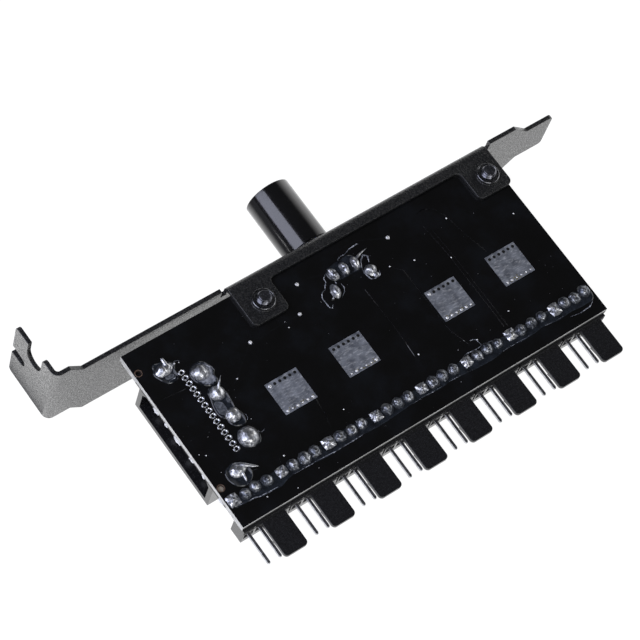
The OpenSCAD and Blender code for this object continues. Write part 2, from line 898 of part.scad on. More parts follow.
// Carbon track on the back of the wafer, open towards the terminals
module control_track() {
    color("dimgray")
        on_axis()
            difference() {
                rod_y(rotor_d, wafer_back - track_t, track_t);
                rod_y(wafer_hole_d, wafer_back - track_t - cut, track_t + 2 * cut);
                translate([-brush_w / 2, wafer_back - track_t - cut, 0])
                    cube([brush_w, track_t + 2 * cut, rotor_d]);
            }
}

// One flat terminal, from the wafer up through the board
module terminal(i) {
    foot = shaft_d / 2 + terminal_t;
    translate([i * terminal_pitch - terminal_w / 2, terminal_y - terminal_t / 2, foot])
        cube([terminal_w, terminal_t, board_top + lead_proud - axis_z - foot]);
}

// The three terminals
module control_terminals() {
    color("silver")
        on_axis()
            for (i = [-1:1])
                terminal(i);
}

// Rear cup round the rotor
module control_cup() {
    color([0.16, 0.16, 0.17])
        on_axis()
            difference() {
                control_slab(cup_back, cup_l);
                rod_y(chamber_d, chamber_back, cup_l);
            }
}

// Steel frame: a back plate, two arms along the sides and two soldered lugs
module control_frame() {
    h = control_half_h + axis_rise;
    color("lightgray")
        on_axis() {
            translate([-control_w / 2 - frame_t, cup_back - frame_t, -control_half_h])
                cube([control_w + 2 * frame_t, frame_t, h]);
            for (s = [-1, 1]) {
                translate([s * lug_x - frame_t / 2, cup_back - frame_t, -control_half_h])
                    cube([frame_t, block_front - cup_back + frame_t, h]);
                translate([s * lug_x - frame_t / 2, lug_y - lug_w / 2, axis_rise - cut])
                    cube([frame_t, lug_w, board_t + lock_proud + cut]);
            }
        }
}

// Solder joints of the terminals and of the two lugs
module control_joints() {
    color("gainsboro")
        on_board() {
            for (i = [-1:1])
                translate([control_x + i * terminal_pitch, terminal_y, board_top])
                    difference() {
                        solder(joint_r, terminal_w * 0.7, joint_h);
                        translate([-terminal_w / 2, -terminal_t / 2, -cut])
                            cube([terminal_w, terminal_t, joint_h + 2 * cut]);
                    }
            for (s = [-1, 1])
                translate([control_x + s * lug_x, lug_y, board_top])
                    difference() {
                        solder(lock_joint_r, lug_w * 0.65, lock_joint_h);
                        translate([-frame_t / 2, -lug_w / 2, -cut])
                            cube([frame_t, lug_w, lock_proud + cut]);
                    }
        }
}

// Flat along the knob end of the shaft
module shaft_flat() {
    translate([-shaft_d, knob_back, shaft_d / 2 - flat_depth])
        cube([2 * shaft_d, knob_len, shaft_d]);
}

// Shaft with a flat where the knob sits
module control_shaft() {
    color("lightgray")
        on_axis()
            difference() {
                rod_y(shaft_d, chamber_back + end_play, shaft_end - chamber_back - end_play);
                shaft_flat();
            }
}

// Rotor pressed on the inner end of the shaft
module control_rotor() {
    color("white")
        on_axis()
            difference() {
                rod_y(rotor_d, rotor_back, rotor_t);
                rod_y(shaft_d, rotor_back - cut, rotor_t + 2 * cut);
            }
}

// Spring brush on the face of the rotor, running on the track
module control_wiper() {
    reach = wafer_back - track_t - brush_gap;
    mid_r = (shaft_d + rotor_d) / 4;
    width = (rotor_d - shaft_d) / 2 - 0.1;
    color("gold")
        on_axis()
            translate([0, rotor_front, -mid_r])
                translate([-brush_w / 2, 0, -width / 2])
                    cube([brush_w, reach - rotor_front, width]);
}

// Turned aluminium shell of the knob
module knob_shell() {
    bore_end = knob_front - knob_end_t;
    color([0.1, 0.1, 0.11])
        on_axis()
            difference() {
                union() {
                    rod_y(knob_d, knob_back, knob_len - knob_chamfer);
                    translate([0, knob_front - knob_chamfer, 0])
                        rotate([-90, 0, 0])
                            cylinder(d1 = knob_d, d2 = knob_d - 2 * knob_chamfer, h = knob_chamfer);
                }
                rod_y(sleeve_d, knob_back - cut, bore_end - knob_back + cut);
            }
}

// Plastic sleeve between the shell and the shaft, with a flat in its bore
module knob_sleeve() {
    bore_end = knob_front - knob_end_t;
    color("ivory")
        on_axis()
            difference() {
                rod_y(sleeve_d, knob_back, bore_end - knob_back);
                difference() {
                    rod_y(shaft_d, knob_back - cut, bore_end - knob_back + 2 * cut);
                    shaft_flat();
                }
            }
}

// Power transistor body on the component side, with its tab under a thermal pad
module power_transistor(i) {
    color([0.14, 0.14, 0.15])
        on_transistor(i)
            difference() {
                cube([transistor_w, transistor_l, transistor_h]);
                transistor_metal(cut);
            }
}

// Children placed from the near top corner of a transistor body
module on_transistor(i) {
    x = pad_xs[i] - transistor_w / 2;
    on_board()
        translate([x, transistor_y - transistor_l / 2, board_under - transistor_h])
            children();
}

// Heat tab and two leads, made thicker by extra where they cut the body
module transistor_metal(extra) {
    tab_w = 5.3;
    tab_l = 1.3;
    lead_w = 0.8;
    lead_l = 2.4;
    lead_spread = 4.56;
    bite = 1;
    translate([(transistor_w - tab_w) / 2, transistor_l - bite, transistor_h - transistor_tab_t])
        cube([tab_w, tab_l + bite, transistor_tab_t + extra]);
    for (s = [-1, 1])
        translate([(transistor_w - lead_w + s * lead_spread) / 2, -lead_l, transistor_h - transistor_tab_t])
            cube([lead_w, lead_l + bite, transistor_tab_t + extra]);
}

// Tab and leads of one power transistor
module transistor_leads(i) {
    color("silver")
        on_transistor(i)
            transistor_metal(0);
}

// Moulded body of the control chip
module control_chip() {
    color([0.14, 0.14, 0.15])
        on_board()
            translate([chip_x - chip_l / 2, chip_y - chip_w / 2, board_under - chip_lift - chip_h])
                cube([chip_l, chip_w, chip_h]);
}

// Fourteen gull wing leads of the control chip
module control_chip_leads() {
    lead_pitch = 1.27;
    lead_w = 0.42;
    lead_l = 1;
    lead_t = 0.22;
    shoulder = chip_h / 2 + chip_lift;
    color("silver")
        on_board()
            for (i = [-3:3], s = [0, 1])
                translate([chip_x + i * lead_pitch, chip_y, board_under])
                    rotate([0, 0, 180 * s])
                        translate([-lead_w / 2, chip_w / 2, 0]) {
                            translate([0, 0, -shoulder])
                                cube([lead_w, lead_t * 1.5, shoulder]);
                            translate([0, 0, -lead_t])
                                cube([lead_w, lead_l, lead_t]);
                        }
}

// Chip resistors: one behind each header clear of the power connector, and a middle row
module chip_resistors() {
    size = [resistor_l, resistor_w, resistor_t];
    color([0.1, 0.1, 0.1])
        on_board() {
            for (h = [1:header_count - 1])
                translate([pin_x(h, 1), header_resistor_y, board_under])
                    chip(size);
            for (x = middle_resistor_xs)
                translate([x, middle_resistor_y, board_under])
                    chip(size);
        }
}

// Ceramic chip capacitors
module chip_capacitors() {
    size = [capacitor_l, capacitor_w, capacitor_t];
    color("tan")
        on_board()
            for (x = pad_xs)
                translate([x, capacitor_y, board_under])
                    chip(size);
}

// Small block soldered flat under the board
module chip(size) {
    translate([-size[0] / 2, -size[1] / 2, -size[2]])
        cube(size);
}

bracket();
board_screws();
circuit_board();
thermal_pads();
plated_holes();
tinned_vias();
for (h = [0:header_count - 1]) {
    fan_header(h);
    fan_header_pins(h);
}
fan_header_joints();
power_connector_shroud();
power_connector_pins();
power_connector_locks();
power_joints();
control_bushing();
control_wafer();
control_track();
control_terminals();
control_cup();
control_frame();
control_joints();
control_shaft();
control_rotor();
control_wiper();
knob_shell();
knob_sleeve();
for (i = [0:3]) {
    power_transistor(i);
    transistor_leads(i);
}
control_chip();
control_chip_leads();
chip_resistors();
chip_capacitors();
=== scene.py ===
"""Fan controller hub on a slot bracket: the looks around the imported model.

Blender works in metres. Lengths in this text are millimetres, times MM where a function wants metres.
"""

import json
import math
import random

import bmesh
import bpy
from mathutils import Matrix, Vector

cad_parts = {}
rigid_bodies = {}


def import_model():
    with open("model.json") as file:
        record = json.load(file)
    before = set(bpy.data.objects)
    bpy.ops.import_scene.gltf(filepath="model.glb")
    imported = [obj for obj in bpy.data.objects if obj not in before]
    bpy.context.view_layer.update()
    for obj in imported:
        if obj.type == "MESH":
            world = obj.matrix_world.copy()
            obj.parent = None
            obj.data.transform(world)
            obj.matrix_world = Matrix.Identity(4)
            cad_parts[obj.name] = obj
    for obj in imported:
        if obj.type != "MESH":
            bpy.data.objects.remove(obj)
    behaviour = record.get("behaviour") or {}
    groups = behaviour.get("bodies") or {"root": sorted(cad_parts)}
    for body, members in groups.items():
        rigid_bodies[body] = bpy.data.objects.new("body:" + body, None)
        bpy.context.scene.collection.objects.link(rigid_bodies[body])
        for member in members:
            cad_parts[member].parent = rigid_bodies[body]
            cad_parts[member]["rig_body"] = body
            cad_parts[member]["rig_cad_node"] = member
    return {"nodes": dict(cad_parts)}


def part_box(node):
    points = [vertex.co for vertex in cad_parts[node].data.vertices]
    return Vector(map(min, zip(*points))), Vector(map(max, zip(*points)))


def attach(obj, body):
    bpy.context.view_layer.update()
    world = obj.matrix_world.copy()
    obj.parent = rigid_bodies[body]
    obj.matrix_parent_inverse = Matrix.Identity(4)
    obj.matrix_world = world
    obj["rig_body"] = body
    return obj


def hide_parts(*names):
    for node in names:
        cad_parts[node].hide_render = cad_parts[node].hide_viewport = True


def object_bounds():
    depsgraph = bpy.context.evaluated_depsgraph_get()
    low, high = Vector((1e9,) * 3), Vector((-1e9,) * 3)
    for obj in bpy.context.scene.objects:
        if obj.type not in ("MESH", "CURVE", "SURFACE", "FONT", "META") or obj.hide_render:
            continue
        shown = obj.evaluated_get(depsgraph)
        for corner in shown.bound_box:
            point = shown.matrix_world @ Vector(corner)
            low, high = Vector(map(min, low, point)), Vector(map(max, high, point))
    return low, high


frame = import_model()
cad_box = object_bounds()
nodes = frame["nodes"]
dressed = set()

MM = 0.001
# Near left corner of the board's soldered face: board places are measured from here.
BOARD = Vector((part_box("circuit_board")[0].x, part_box("circuit_board")[0].y, 0.0))
BOARD_T = 1.6
HEADER_PITCH = 10.8125
PIN_PITCH = 2.54
POWER_PITCH = 5.08
# The power connector's middle, and its two plain holes left and right of that.
POWER_Y = 21.675
PLAIN_HOLE_X, PLAIN_HOLE_REACH = 0.95, 13.3
# Vias on the heat pads: their pitch, the first one's place, and the far row's distance from the edge.
PAD_VIA_PITCH, PAD_VIA_FIRST, PAD_VIA_FAR = 1.15, 0.72, 0.75
FLOOR_Z = cad_box[0][2]


def on_board(x, y, z=0.0):
    """A place on the board in millimetres, as a point in metres."""
    return BOARD + Vector((x, y, z)) * MM


# --- modelling helpers ---


def close():
    """Leaves edit mode."""
    if bpy.context.object and bpy.context.object.mode != "OBJECT":
        bpy.ops.object.mode_set(mode="OBJECT")


def alone(piece):
    """Leaves edit mode and selects one piece and nothing else."""
    close()
    bpy.ops.object.select_all(action="DESELECT")
    piece.select_set(True)
    bpy.context.view_layer.objects.active = piece


def pick(piece, test, kind="FACE"):
    """Opens edit mode with the faces, edges or vertices selected that pass a test of place and normal."""
    alone(piece)
    bpy.ops.object.mode_set(mode="EDIT")
    bpy.ops.mesh.select_mode(type=kind)
    bpy.ops.mesh.select_all(action="DESELECT")
    mesh = bmesh.from_edit_mesh(piece.data)
    mesh.normal_update()
    for part in {"FACE": mesh.faces, "EDGE": mesh.edges, "VERT": mesh.verts}[kind]:
        if kind == "FACE":
            where, way = part.calc_center_median(), part.normal
        elif kind == "EDGE":
            where = (part.verts[0].co + part.verts[1].co) / 2
            way = (part.verts[1].co - part.verts[0].co).normalized()
        else:
            where, way = part.co, part.normal
        if test(where, way):
            part.select_set(True)
    mesh.select_flush_mode()
    bmesh.update_edit_mesh(piece.data)


def everything(piece, kind="FACE"):
    """Opens edit mode with all of a piece selected."""
    pick(piece, lambda where, way: True, kind)


def inset(thickness, each=False):
    """Insets the selected faces by millimetres, together or each by itself."""
    bpy.ops.mesh.inset(thickness=thickness * MM, use_individual=each)


def extrude(x, y, z):
    """Extrudes what is selected by millimetres."""
    bpy.ops.mesh.extrude_region_move(TRANSFORM_OT_translate={"value": (x * MM, y * MM, z * MM)})


def shift(x, y, z):
    """Moves what is selected by millimetres."""
    bpy.ops.transform.translate(value=(x * MM, y * MM, z * MM))


def scale(x, y, z, about=(0, 0, 0)):
    """Scales what is selected about a point in metres."""
    bpy.ops.transform.resize(value=(x, y, z), center_override=about)


def widen(piece, test, factor, about=(0, 0, 0)):
    """Scales the vertices that pass a test in x and y, about a point in metres."""
    pick(piece, test, "VERT")
    scale(factor, factor, 1, about)
    close()


def lift(piece, test, height):
    """Raises or sinks the vertices that pass a test, by a height in metres."""
    pick(piece, test, "VERT")
    bpy.ops.transform.translate(value=(0, 0, height))
    close()


def cut(piece, point, way=(0, 0, 1), drop=True):
    """Cuts a piece along a plane, and drops and caps the side behind the plane unless told otherwise."""
    everything(piece, "VERT")
    bpy.ops.mesh.bisect(plane_co=point, plane_no=way, clear_inner=drop, use_fill=drop)
    close()


def start(primitive, name, at, stretch=(1, 1, 1), **size):
    """Adds a primitive at its place, stretched about its middle, and names it."""
    close()
    bpy.ops.object.select_all(action="DESELECT")
    primitive(location=at, **size)
    piece = bpy.context.object
    piece.name = piece.data.name = name
    piece.scale = stretch
    bpy.ops.object.transform_apply(location=True, rotation=True, scale=True)
    return piece


def block(name, low, high):
    """A cube stretched between two corners."""
    low, high = Vector(low), Vector(high)
    return start(bpy.ops.mesh.primitive_cube_add, name, (low + high) / 2, high - low, size=1)


def cylinder(name, at, radius, depth, vertices, **settings):
    """A cylinder with its radius and depth in millimetres."""
    return start(
        bpy.ops.mesh.primitive_cylinder_add, name, at, vertices=vertices, radius=radius * MM, depth=depth * MM,
        **settings,
    )


def ring(name, at, major, minor, around, across, stretch=(1, 1, 1)):
    """A torus with its radii in millimetres."""
    return start(
        bpy.ops.mesh.primitive_torus_add, name, at, stretch, major_radius=major * MM, minor_radius=minor * MM,
        major_segments=around, minor_segments=across,
    )


def ball(name, at, stretch, radius, subdivisions=2):
    """A ball with its radius in millimetres."""
    return start(
        bpy.ops.mesh.primitive_ico_sphere_add, name, at, stretch, subdivisions=subdivisions, radius=radius * MM,
    )


def dome(name, middle, reach, segments, rings):
    """The upper half of a ball, stretched to a reach in metres."""
    piece = start(
        bpy.ops.mesh.primitive_uv_sphere_add, name, middle, reach, radius=1, segments=segments, ring_count=rings,
    )
    cut(piece, middle)
    return piece


def apply(piece, kind, **settings):
    """Adds a modifier and applies it."""
    alone(piece)
    modifier = piece.modifiers.new(kind.lower(), kind)
    for name, value in settings.items():
        setattr(modifier, name, value)
    bpy.ops.object.modifier_apply(modifier=modifier.name)


def round_edges(piece, width, segments=2, angle=35):
    """Small moulding or break-edge radius on every sharp edge."""
    apply(
        piece, "BEVEL", width=width * MM, segments=segments, limit_method="ANGLE", angle_limit=math.radians(angle),
    )


def clouds(name, size):
    """Procedural cloud texture for a Displace modifier, with a feature size in millimetres."""
    texture = bpy.data.textures.new(name, "CLOUDS")
    texture.noise_scale = size * MM
    return texture


def cells(name, size):
    """Procedural cell texture for a Displace modifier, with a cell size in millimetres."""
    texture = bpy.data.textures.new(name, "VORONOI")
    texture.noise_scale = size * MM
    texture.weight_1 = -1.0
    texture.weight_2 = 1.0
    return texture


def roughen(piece, texture, height):
    """Pushes the surface in and out by a texture, by a height in millimetres."""
    apply(piece, "DISPLACE", texture=texture, texture_coords="LOCAL", strength=height * MM, mid_level=0.5)


def copy_of(piece, name, move, turn=0.0, grow=(1, 1, 1)):
    """A copy with its own mesh, grown and turned about the origin and then moved."""
    twin = piece.copy()
    twin.data = piece.data.copy()
    twin.name = twin.data.name = name
    bpy.context.scene.collection.objects.link(twin)
    shape = Matrix.Rotation(turn, 4, "Z") @ Matrix.Diagonal((*grow, 1))
    twin.data.transform(Matrix.Translation(move) @ shape)
    return twin


def join(pieces, name):
    """Joins pieces into the first one and names it."""
    alone(pieces[0])
    for piece in pieces:
        piece.select_set(True)
    bpy.ops.object.join()
    pieces[0].name = pieces[0].data.name = name
    return pieces[0]


def clean(piece):
    """Merges doubles and turns the normals outwards."""
    everything(piece, "VERT")
    bpy.ops.mesh.remove_doubles(threshold=0.002 * MM)
    bpy.ops.mesh.normals_make_consistent(inside=False)
    close()


def flatten_shading(piece):
    """Lets the large faces rule the shading, so that only the rounded edges bend it."""
    apply(piece, "WEIGHTED_NORMAL", keep_sharp=True)


def finish(piece, materials, body="hub", replaces=(), angle=35):
    """Gives a piece its shading, materials, body and the nodes that it stands for."""
    alone(piece)
    bpy.ops.object.shade_smooth_by_angle(angle=math.radians(angle))
    materials = materials if isinstance(materials, (list, tuple)) else [materials]
    kept = [polygon.material_index for polygon in piece.data.polygons]
    piece.data.materials.clear()
    for material in materials:
        piece.data.materials.append(material)
    for polygon, index in zip(piece.data.polygons, kept):
        polygon.material_index = min(index, len(materials) - 1)
    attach(piece, body)
    if replaces:
        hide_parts(*replaces)
        dressed.update(replaces)
    return piece


def dress(node, material):
    """Gives a carried-over node its material."""
    mesh = nodes[node].data
    mesh.materials.clear()
    mesh.materials.append(material)
    dressed.add(node)


def softened(node, width, material, segments=2):
    """A merged copy of a node with its edges broken, standing for the node."""
    piece = nodes[node].copy()
    piece.data = nodes[node].data.copy()
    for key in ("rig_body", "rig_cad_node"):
        if key in piece:
            del piece[key]
    piece.parent = None
    piece.name = piece.data.name = node + "_finished"
    bpy.context.scene.collection.objects.link(piece)
    alone(piece)
    bpy.ops.object.mode_set(mode="EDIT")
    bpy.ops.mesh.select_all(action="SELECT")
    bpy.ops.mesh.remove_doubles(threshold=0.0005 * MM)
    bpy.ops.mesh.dissolve_limited(angle_limit=math.radians(0.5))
    close()
    round_edges(piece, width, segments)
    finish(piece, material, replaces=(node,))
    flatten_shading(piece)


def islands(node):
    """Low and high corners of each separate solid of a node, from left to right."""
    mesh = bmesh.new()
    mesh.from_mesh(nodes[node].data)
    bmesh.ops.remove_doubles(mesh, verts=mesh.verts, dist=0.0005 * MM)
    left = set(mesh.verts)
    boxes = []
    while left:
        group, edge = set(), [left.pop()]
        while edge:
            vertex = edge.pop()
            group.add(vertex)
            for link in vertex.link_edges:
                other = link.other_vert(vertex)
                if other in left:
                    left.discard(other)
                    edge.append(other)
        corners = [vertex.co for vertex in group]
        low = Vector([min(c[i] for c in corners) for i in range(3)])
        high = Vector([max(c[i] for c in corners) for i in range(3)])
        boxes.append((low, high))
    mesh.free()
    return sorted(boxes, key=lambda pair: tuple(round(v, 5) for v in pair[0]))


# --- material helpers ---


def srgb(code):
    """An sRGB hex colour as linear RGBA."""
    parts = [int(code[i:i + 2], 16) / 255 for i in (1, 3, 5)]
    return tuple(c / 12.92 if c <= 0.04045 else ((c + 0.055) / 1.055) ** 2.4 for c in parts) + (1.0,)


def per(size):
    """Texture scale for a pattern of this size in millimetres, on coordinates in metres."""
    return 1000.0 / size


def fill(node, inputs):
    """Sets a node's inputs to values, or links them to sockets."""
    for name, value in inputs.items():
        if isinstance(value, bpy.types.NodeSocket):
            node.id_data.links.new(value, node.inputs[name])
        else:
            node.inputs[name].default_value = value


def add(tree, kind, inputs=None, stops=(), **settings):
    """Adds a node with its settings, inputs and colour stops."""
    made = tree.nodes.new("ShaderNode" + kind)
    for name, value in settings.items():
        setattr(made, name, value)
    fill(made, inputs or {})
    for i, (place, colour) in enumerate(stops):
        stop = made.color_ramp.elements[i] if i < 2 else made.color_ramp.elements.new(place)
        stop.position = place
        stop.color = srgb(colour)
    return made


def noise(tree, place, size, detail, rough=0.5):
    """Noise with a grain size in millimetres."""
    return add(tree, "TexNoise", {
        "Vector": place, "Scale": per(size), "Detail": detail, "Roughness": rough,
    }).outputs["Fac"]


def ramp(tree, value, *stops):
    """Colours over a value."""
    return add(tree, "ValToRGB", {"Fac": value}, stops).outputs["Color"]


def span(tree, value, low, high, to_low=0.0, to_high=1.0, **settings):
    """A value stretched from one span to another, and held at the ends."""
    return add(tree, "MapRange", {
        "Value": value, "From Min": low, "From Max": high, "To Min": to_low, "To Max": to_high,
    }, **settings).outputs[0]


def compute(tree, operation, first, second=0.5):
    """One step of arithmetic."""
    return add(tree, "Math", {0: first, 1: second}, operation=operation).outputs[0]


def mixed(tree, factor, first, second, kind="RGBA"):
    """Two colours, or two plain values, mixed by a factor."""
    one, two, result = {"FLOAT": (2, 3, 0), "RGBA": (6, 7, 2)}[kind]
    return add(tree, "Mix", {"Factor": factor, one: first, two: second}, data_type=kind).outputs[result]


def bump(tree, height, strength, depth):
    """A relief with its depth in millimetres."""
    return add(tree, "Bump", {"Height": height, "Strength": strength, "Distance": depth * MM}).outputs["Normal"]


def axes(tree, vector):
    """The X, Y and Z of a vector, as a dictionary of sockets."""
    return add(tree, "SeparateXYZ", {"Vector": vector}).outputs


def stretched(tree, place, **settings):
    """Coordinates scaled or turned, so that a pattern on them runs one way."""
    return add(tree, "Mapping", {"Vector": place, **settings}).outputs["Vector"]


def centred(tree, place, node):
    """Coordinates from the middle of a node's box."""
    low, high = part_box(node)
    return add(tree, "VectorMath", {0: place, 1: (low + high) / 2}, operation="SUBTRACT").outputs[0]


def blank(name):
    """An empty node material with its shader, output and object coordinates."""
    material = bpy.data.materials.new(name)
    material.use_nodes = True
    tree = material.node_tree
    tree.nodes.clear()
    shader = add(tree, "BsdfPrincipled")
    add(tree, "OutputMaterial", {"Surface": shader.outputs["BSDF"]})
    place = add(tree, "TexCoord").outputs["Object"]
    return material, tree, shader, place


def coat(shader, **values):
    """Sets or links a shader's inputs, with the spaces in their names written as underscores."""
    fill(shader, {name.replace("_", " "): value for name, value in values.items()})


def grained(name, dark, light, size, rough, spread, strength, depth, ends=(0.3, 0.7), detail=3.0, **values):
    """A finish whose colour, roughness and relief all vary with one grain, between two ends of its noise.
    The roughness spreads about a middle; the grain's size and the relief's depth are in millimetres."""
    material, tree, shader, place = blank(name)
    grain = noise(tree, place, size, detail, 0.6)
    coat(
        shader, Base_Color=ramp(tree, grain, (ends[0], dark), (ends[1], light)),
        Roughness=span(tree, grain, *ends, rough - spread / 2, rough + spread / 2),
        Normal=bump(tree, grain, strength, depth), **values,
    )
    return material


# --- materials, each named for the real finish ---


def make_solder_mask():
    """Glossy black solder mask over glass laminate: near-black and mirror-like on the faces,
    white and fibrous on the sawn ends, grey on the scored long edges and brown in the drilled holes."""
    material, tree, shader, place = blank("gloss_solder_mask")
    low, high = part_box("circuit_board")
    half = (high - low) / 2
    spot = axes(tree, centred(tree, place, "circuit_board"))
    normal = axes(tree, add(tree, "NewGeometry").outputs["Normal"])

    def beyond(value, limit):
        """One where a coordinate lies further from the middle than the limit."""
        return compute(tree, "GREATER_THAN", compute(tree, "ABSOLUTE", value), limit)

    flat = beyond(normal["Z"], 0.5)
    at_end = beyond(spot["X"], half.x - 0.1 * MM)
    at_side = beyond(spot["Y"], half.y - 0.1 * MM)
    # Glass fibres, drawn 0.2 mm thick so that they show, lie along the edges.
    fibre = noise(tree, stretched(tree, place, Scale=(1.0, 1.0, 6.0)), 1.2, 4.0)
    drilled = ramp(tree, fibre, (0.3, "#1d1612"), (0.7, "#4a3a30"))
    laminate = ramp(tree, fibre, (0.35, "#b0afa9"), (0.6, "#d8d7cf"))
    depth = span(tree, spot["Z"], -0.1 * MM, 0.25 * MM)
    scored = ramp(tree, depth, (0.3, "#1b1b1b"), (0.7, "#c2c2c0"))
    haze = noise(tree, place, 9.0, 5.0, 0.65)
    mask = ramp(tree, haze, (0.35, "#090909"), (0.5, "#0b0b0c"), (0.72, "#111317"))
    walls = mixed(tree, at_side, drilled, scored)
    walls = mixed(tree, at_end, walls, laminate)
    # The sawn end is darker along its lower edge, where the power socket sits under it.
    low_edge = span(tree, spot["Z"], -0.28 * MM, -0.42 * MM)
    over_socket = compute(tree, "LESS_THAN", beyond(spot["Y"], 14.5 * MM), at_end)
    walls = mixed(tree, compute(tree, "MULTIPLY", low_edge, over_socket), walls, srgb("#1d1c1c"))
    polish = span(tree, haze, 0.0, 1.0, 0.09, 0.2)
    coat(
        shader, Base_Color=mixed(tree, flat, walls, mask), Roughness=mixed(tree, flat, 0.7, polish, "FLOAT"),
        Normal=bump(tree, noise(tree, place, 2.2, 2.0), 0.06, 0.05), IOR=1.52,
    )
    return material


def make_levelled_tin():
    """Hot air levelled tin on copper: a dull blue-grey metal with rubbed patches and fine scratches."""
    material, tree, shader, place = blank("levelled_tin")
    patch = noise(tree, place, 1.8, 4.0, 0.6)
    scratch = noise(tree, stretched(tree, place, Rotation=(0, 0, 0.9), Scale=(1.0, 3.0, 1.0)), 1.2, 6.0, 0.72)
    worn = ramp(tree, scratch, (0.5, "#000000"), (0.68, "#ffffff"))
    base = ramp(tree, patch, (0.35, "#8a8f9b"), (0.65, "#bcc1cd"))
    coat(
        shader, Base_Color=mixed(tree, worn, base, srgb("#f0f2f8")), Roughness=span(tree, patch, 0.0, 1.0, 0.45, 0.62),
        Normal=bump(tree, scratch, 0.25, 0.02), Metallic=1.0,
    )
    return material


def make_solder(name, rough, crease, *colours):
    """Tin-lead solder as it froze: bright metal with frosted and rosin-darkened patches."""
    material, tree, shader, place = blank(name)
    frost = noise(tree, place, crease, 3.0, 0.55)
    coat(
        shader, Base_Color=ramp(tree, frost, *zip((0.32, 0.5, 0.68), colours)),
        Roughness=span(tree, frost, 0.3, 0.7, rough + 0.22, rough), Normal=bump(tree, frost, 0.8, 0.14), Metallic=1.0,
    )
    return material


def make_anodised():
    """Black anodised aluminium, turned: a glossy skin over rings of the lathe tool."""
    material, tree, shader, place = blank("black_anodised_aluminium")
    centre = centred(tree, place, "knob_shell")
    rings = {}
    # Tool rings are drawn 0.22 mm apart on the barrel and 0.4 mm apart on the end face, so that they show.
    for kind, width, wobble in (("bands", 0.22, 0.6), ("rings", 0.4, 0.4)):
        rings[kind] = add(tree, "TexWave", {
            "Vector": centre, "Scale": per(width) / 20, "Distortion": wobble, "Detail": 1.0, "Detail Scale": 2.0,
        }, wave_type=kind.upper(), **{kind + "_direction": "Y"}).outputs["Fac"]
    normal = axes(tree, add(tree, "NewGeometry").outputs["Normal"])
    at_end = compute(tree, "GREATER_THAN", normal["Y"], 0.7)
    streak = noise(tree, stretched(tree, place, Scale=(1.0, 3.5, 1.0)), 0.5, 4.0, 0.7)
    coat(
        shader, Base_Color=ramp(tree, streak, (0.3, "#0a0a0b"), (0.7, "#0f0f11")),
        Roughness=span(tree, streak, 0.35, 0.65, 0.04, 0.24),
        Normal=bump(tree, mixed(tree, at_end, rings["bands"], rings["rings"], "FLOAT"), 0.15, 0.02), IOR=1.7,
    )
    return material


def make_flux_rim():
    """Dried rosin where it drew up into a bead: milky, cracked and blue-white."""
    material, tree, shader, place = blank("dried_rosin_rim")
    crack = noise(tree, place, 0.55, 4.0, 0.7)
    coat(
        shader, Base_Color=ramp(tree, crack, (0.38, "#1b1d22"), (0.52, "#6c707a"), (0.68, "#c9ccd4")),
        Roughness=0.25, Normal=bump(tree, crack, 0.5, 0.04), IOR=1.52,
    )
    return material


solder_mask = make_solder_mask()
levelled_tin = make_levelled_tin()
bright_solder = make_solder("bright_solder", 0.27, 0.7, "#5d6068", "#bdbfc5", "#fafafa")
cold_solder = make_solder("cold_solder", 0.28, 1.0, "#3b3e46", "#7d8189", "#c6c8cd")
anodised = make_anodised()
flux_rim = make_flux_rim()
# Black polyester powder coat on steel: a fine orange peel, whose tops are smoother than its hollows.
powder_coat = grained("black_powder_coat", "#040405", "#17181a", 0.34, 0.35, -0.3, 1.0, 0.13, (0.4, 0.6), 2.0, IOR=1.72)
# Clear rosin film over the black mask: smooth, glassy and a little blue.
flux_film = grained("clear_rosin_film", "#0e1014", "#262b32", 1.6, 0.12, 0.1, 0.3, 0.05, IOR=1.52)
# The same rosin where it cooled full of fine cracks: a grey, half clear skin.
milky_film = grained("milky_rosin_film", "#26282d", "#63676e", 0.8, 0.26, 0.14, 0.5, 0.06, IOR=1.52)
# Thick rosin drawn out beside a large joint: pale grey and frosted.
pale_film = grained("pale_rosin_film", "#5b5e65", "#a2a5ac", 0.9, 0.3, 0.14, 0.5, 0.06, IOR=1.52)
# Resin scraps among the small vias: brownish yellow and matt.
rosin_scrap = grained("brown_rosin_scraps", "#4f4a38", "#8a8468", 0.3, 0.5, 0.1, 0.3, 0.02, IOR=1.52)
# Black discs in the open vias of the pads, painted shade for the holes' dark insides: smooth, and sunk a little.
via_hole_shade = grained("painted_via_shade", "#050506", "#0b0b0c", 0.3, 0.5, 0.08, 0.1, 0.01, IOR=1.5)
# Metal rings laid on the rims of the collars to paint the highlights that the coated rims catch: dark with bright
# spots.
collar_glint_metal = grained("collar_glint_metal", "#2a2a2d", "#a5a6ab", 0.9, 0.2, 0.12, 0.3, 0.03, Metallic=1.0)
# Zinc plate with a black passivation: a dark satin metal.
black_zinc = grained("black_zinc_plate", "#45464b", "#75767d", 0.5, 0.24, 0.12, 0.2, 0.01, Metallic=0.9)
# Glass-filled nylon out of an etched mould: black with a faint satin grain.
black_nylon = grained("black_moulded_nylon", "#131314", "#212123", 0.3, 0.25, 0.1, 0.25, 0.012, IOR=1.53)
# The shroud's polyester is smoother than the header's nylon.
black_polyester = grained("black_moulded_polyester", "#111112", "#1d1d1f", 0.45, 0.24, 0.1, 0.2, 0.012, IOR=1.58)
# Bright tin over brass: square drawn wire, grey and faintly streaked.
tinned_wire = grained("tin_plated_wire", "#8e8f93", "#c6c7cb", 0.8, 0.34, 0.14, 0.12, 0.006, Metallic=1.0)
# Solder closing a small via, its grey painted nearly white: a painted glint.
glint_white_solder = grained("glint_white_solder", "#dcdde1", "#ffffff", 0.5, 0.4, 0.1, 0.2, 0.01, Metallic=0.6)
# Levelled tin on the rings of the open holes: bright, and rounded enough to catch one light.
eyelet_tin = grained("eyelet_tin", "#b4b6bb", "#e3e4e8", 0.6, 0.16, 0.08, 0.15, 0.01, Metallic=1.0)
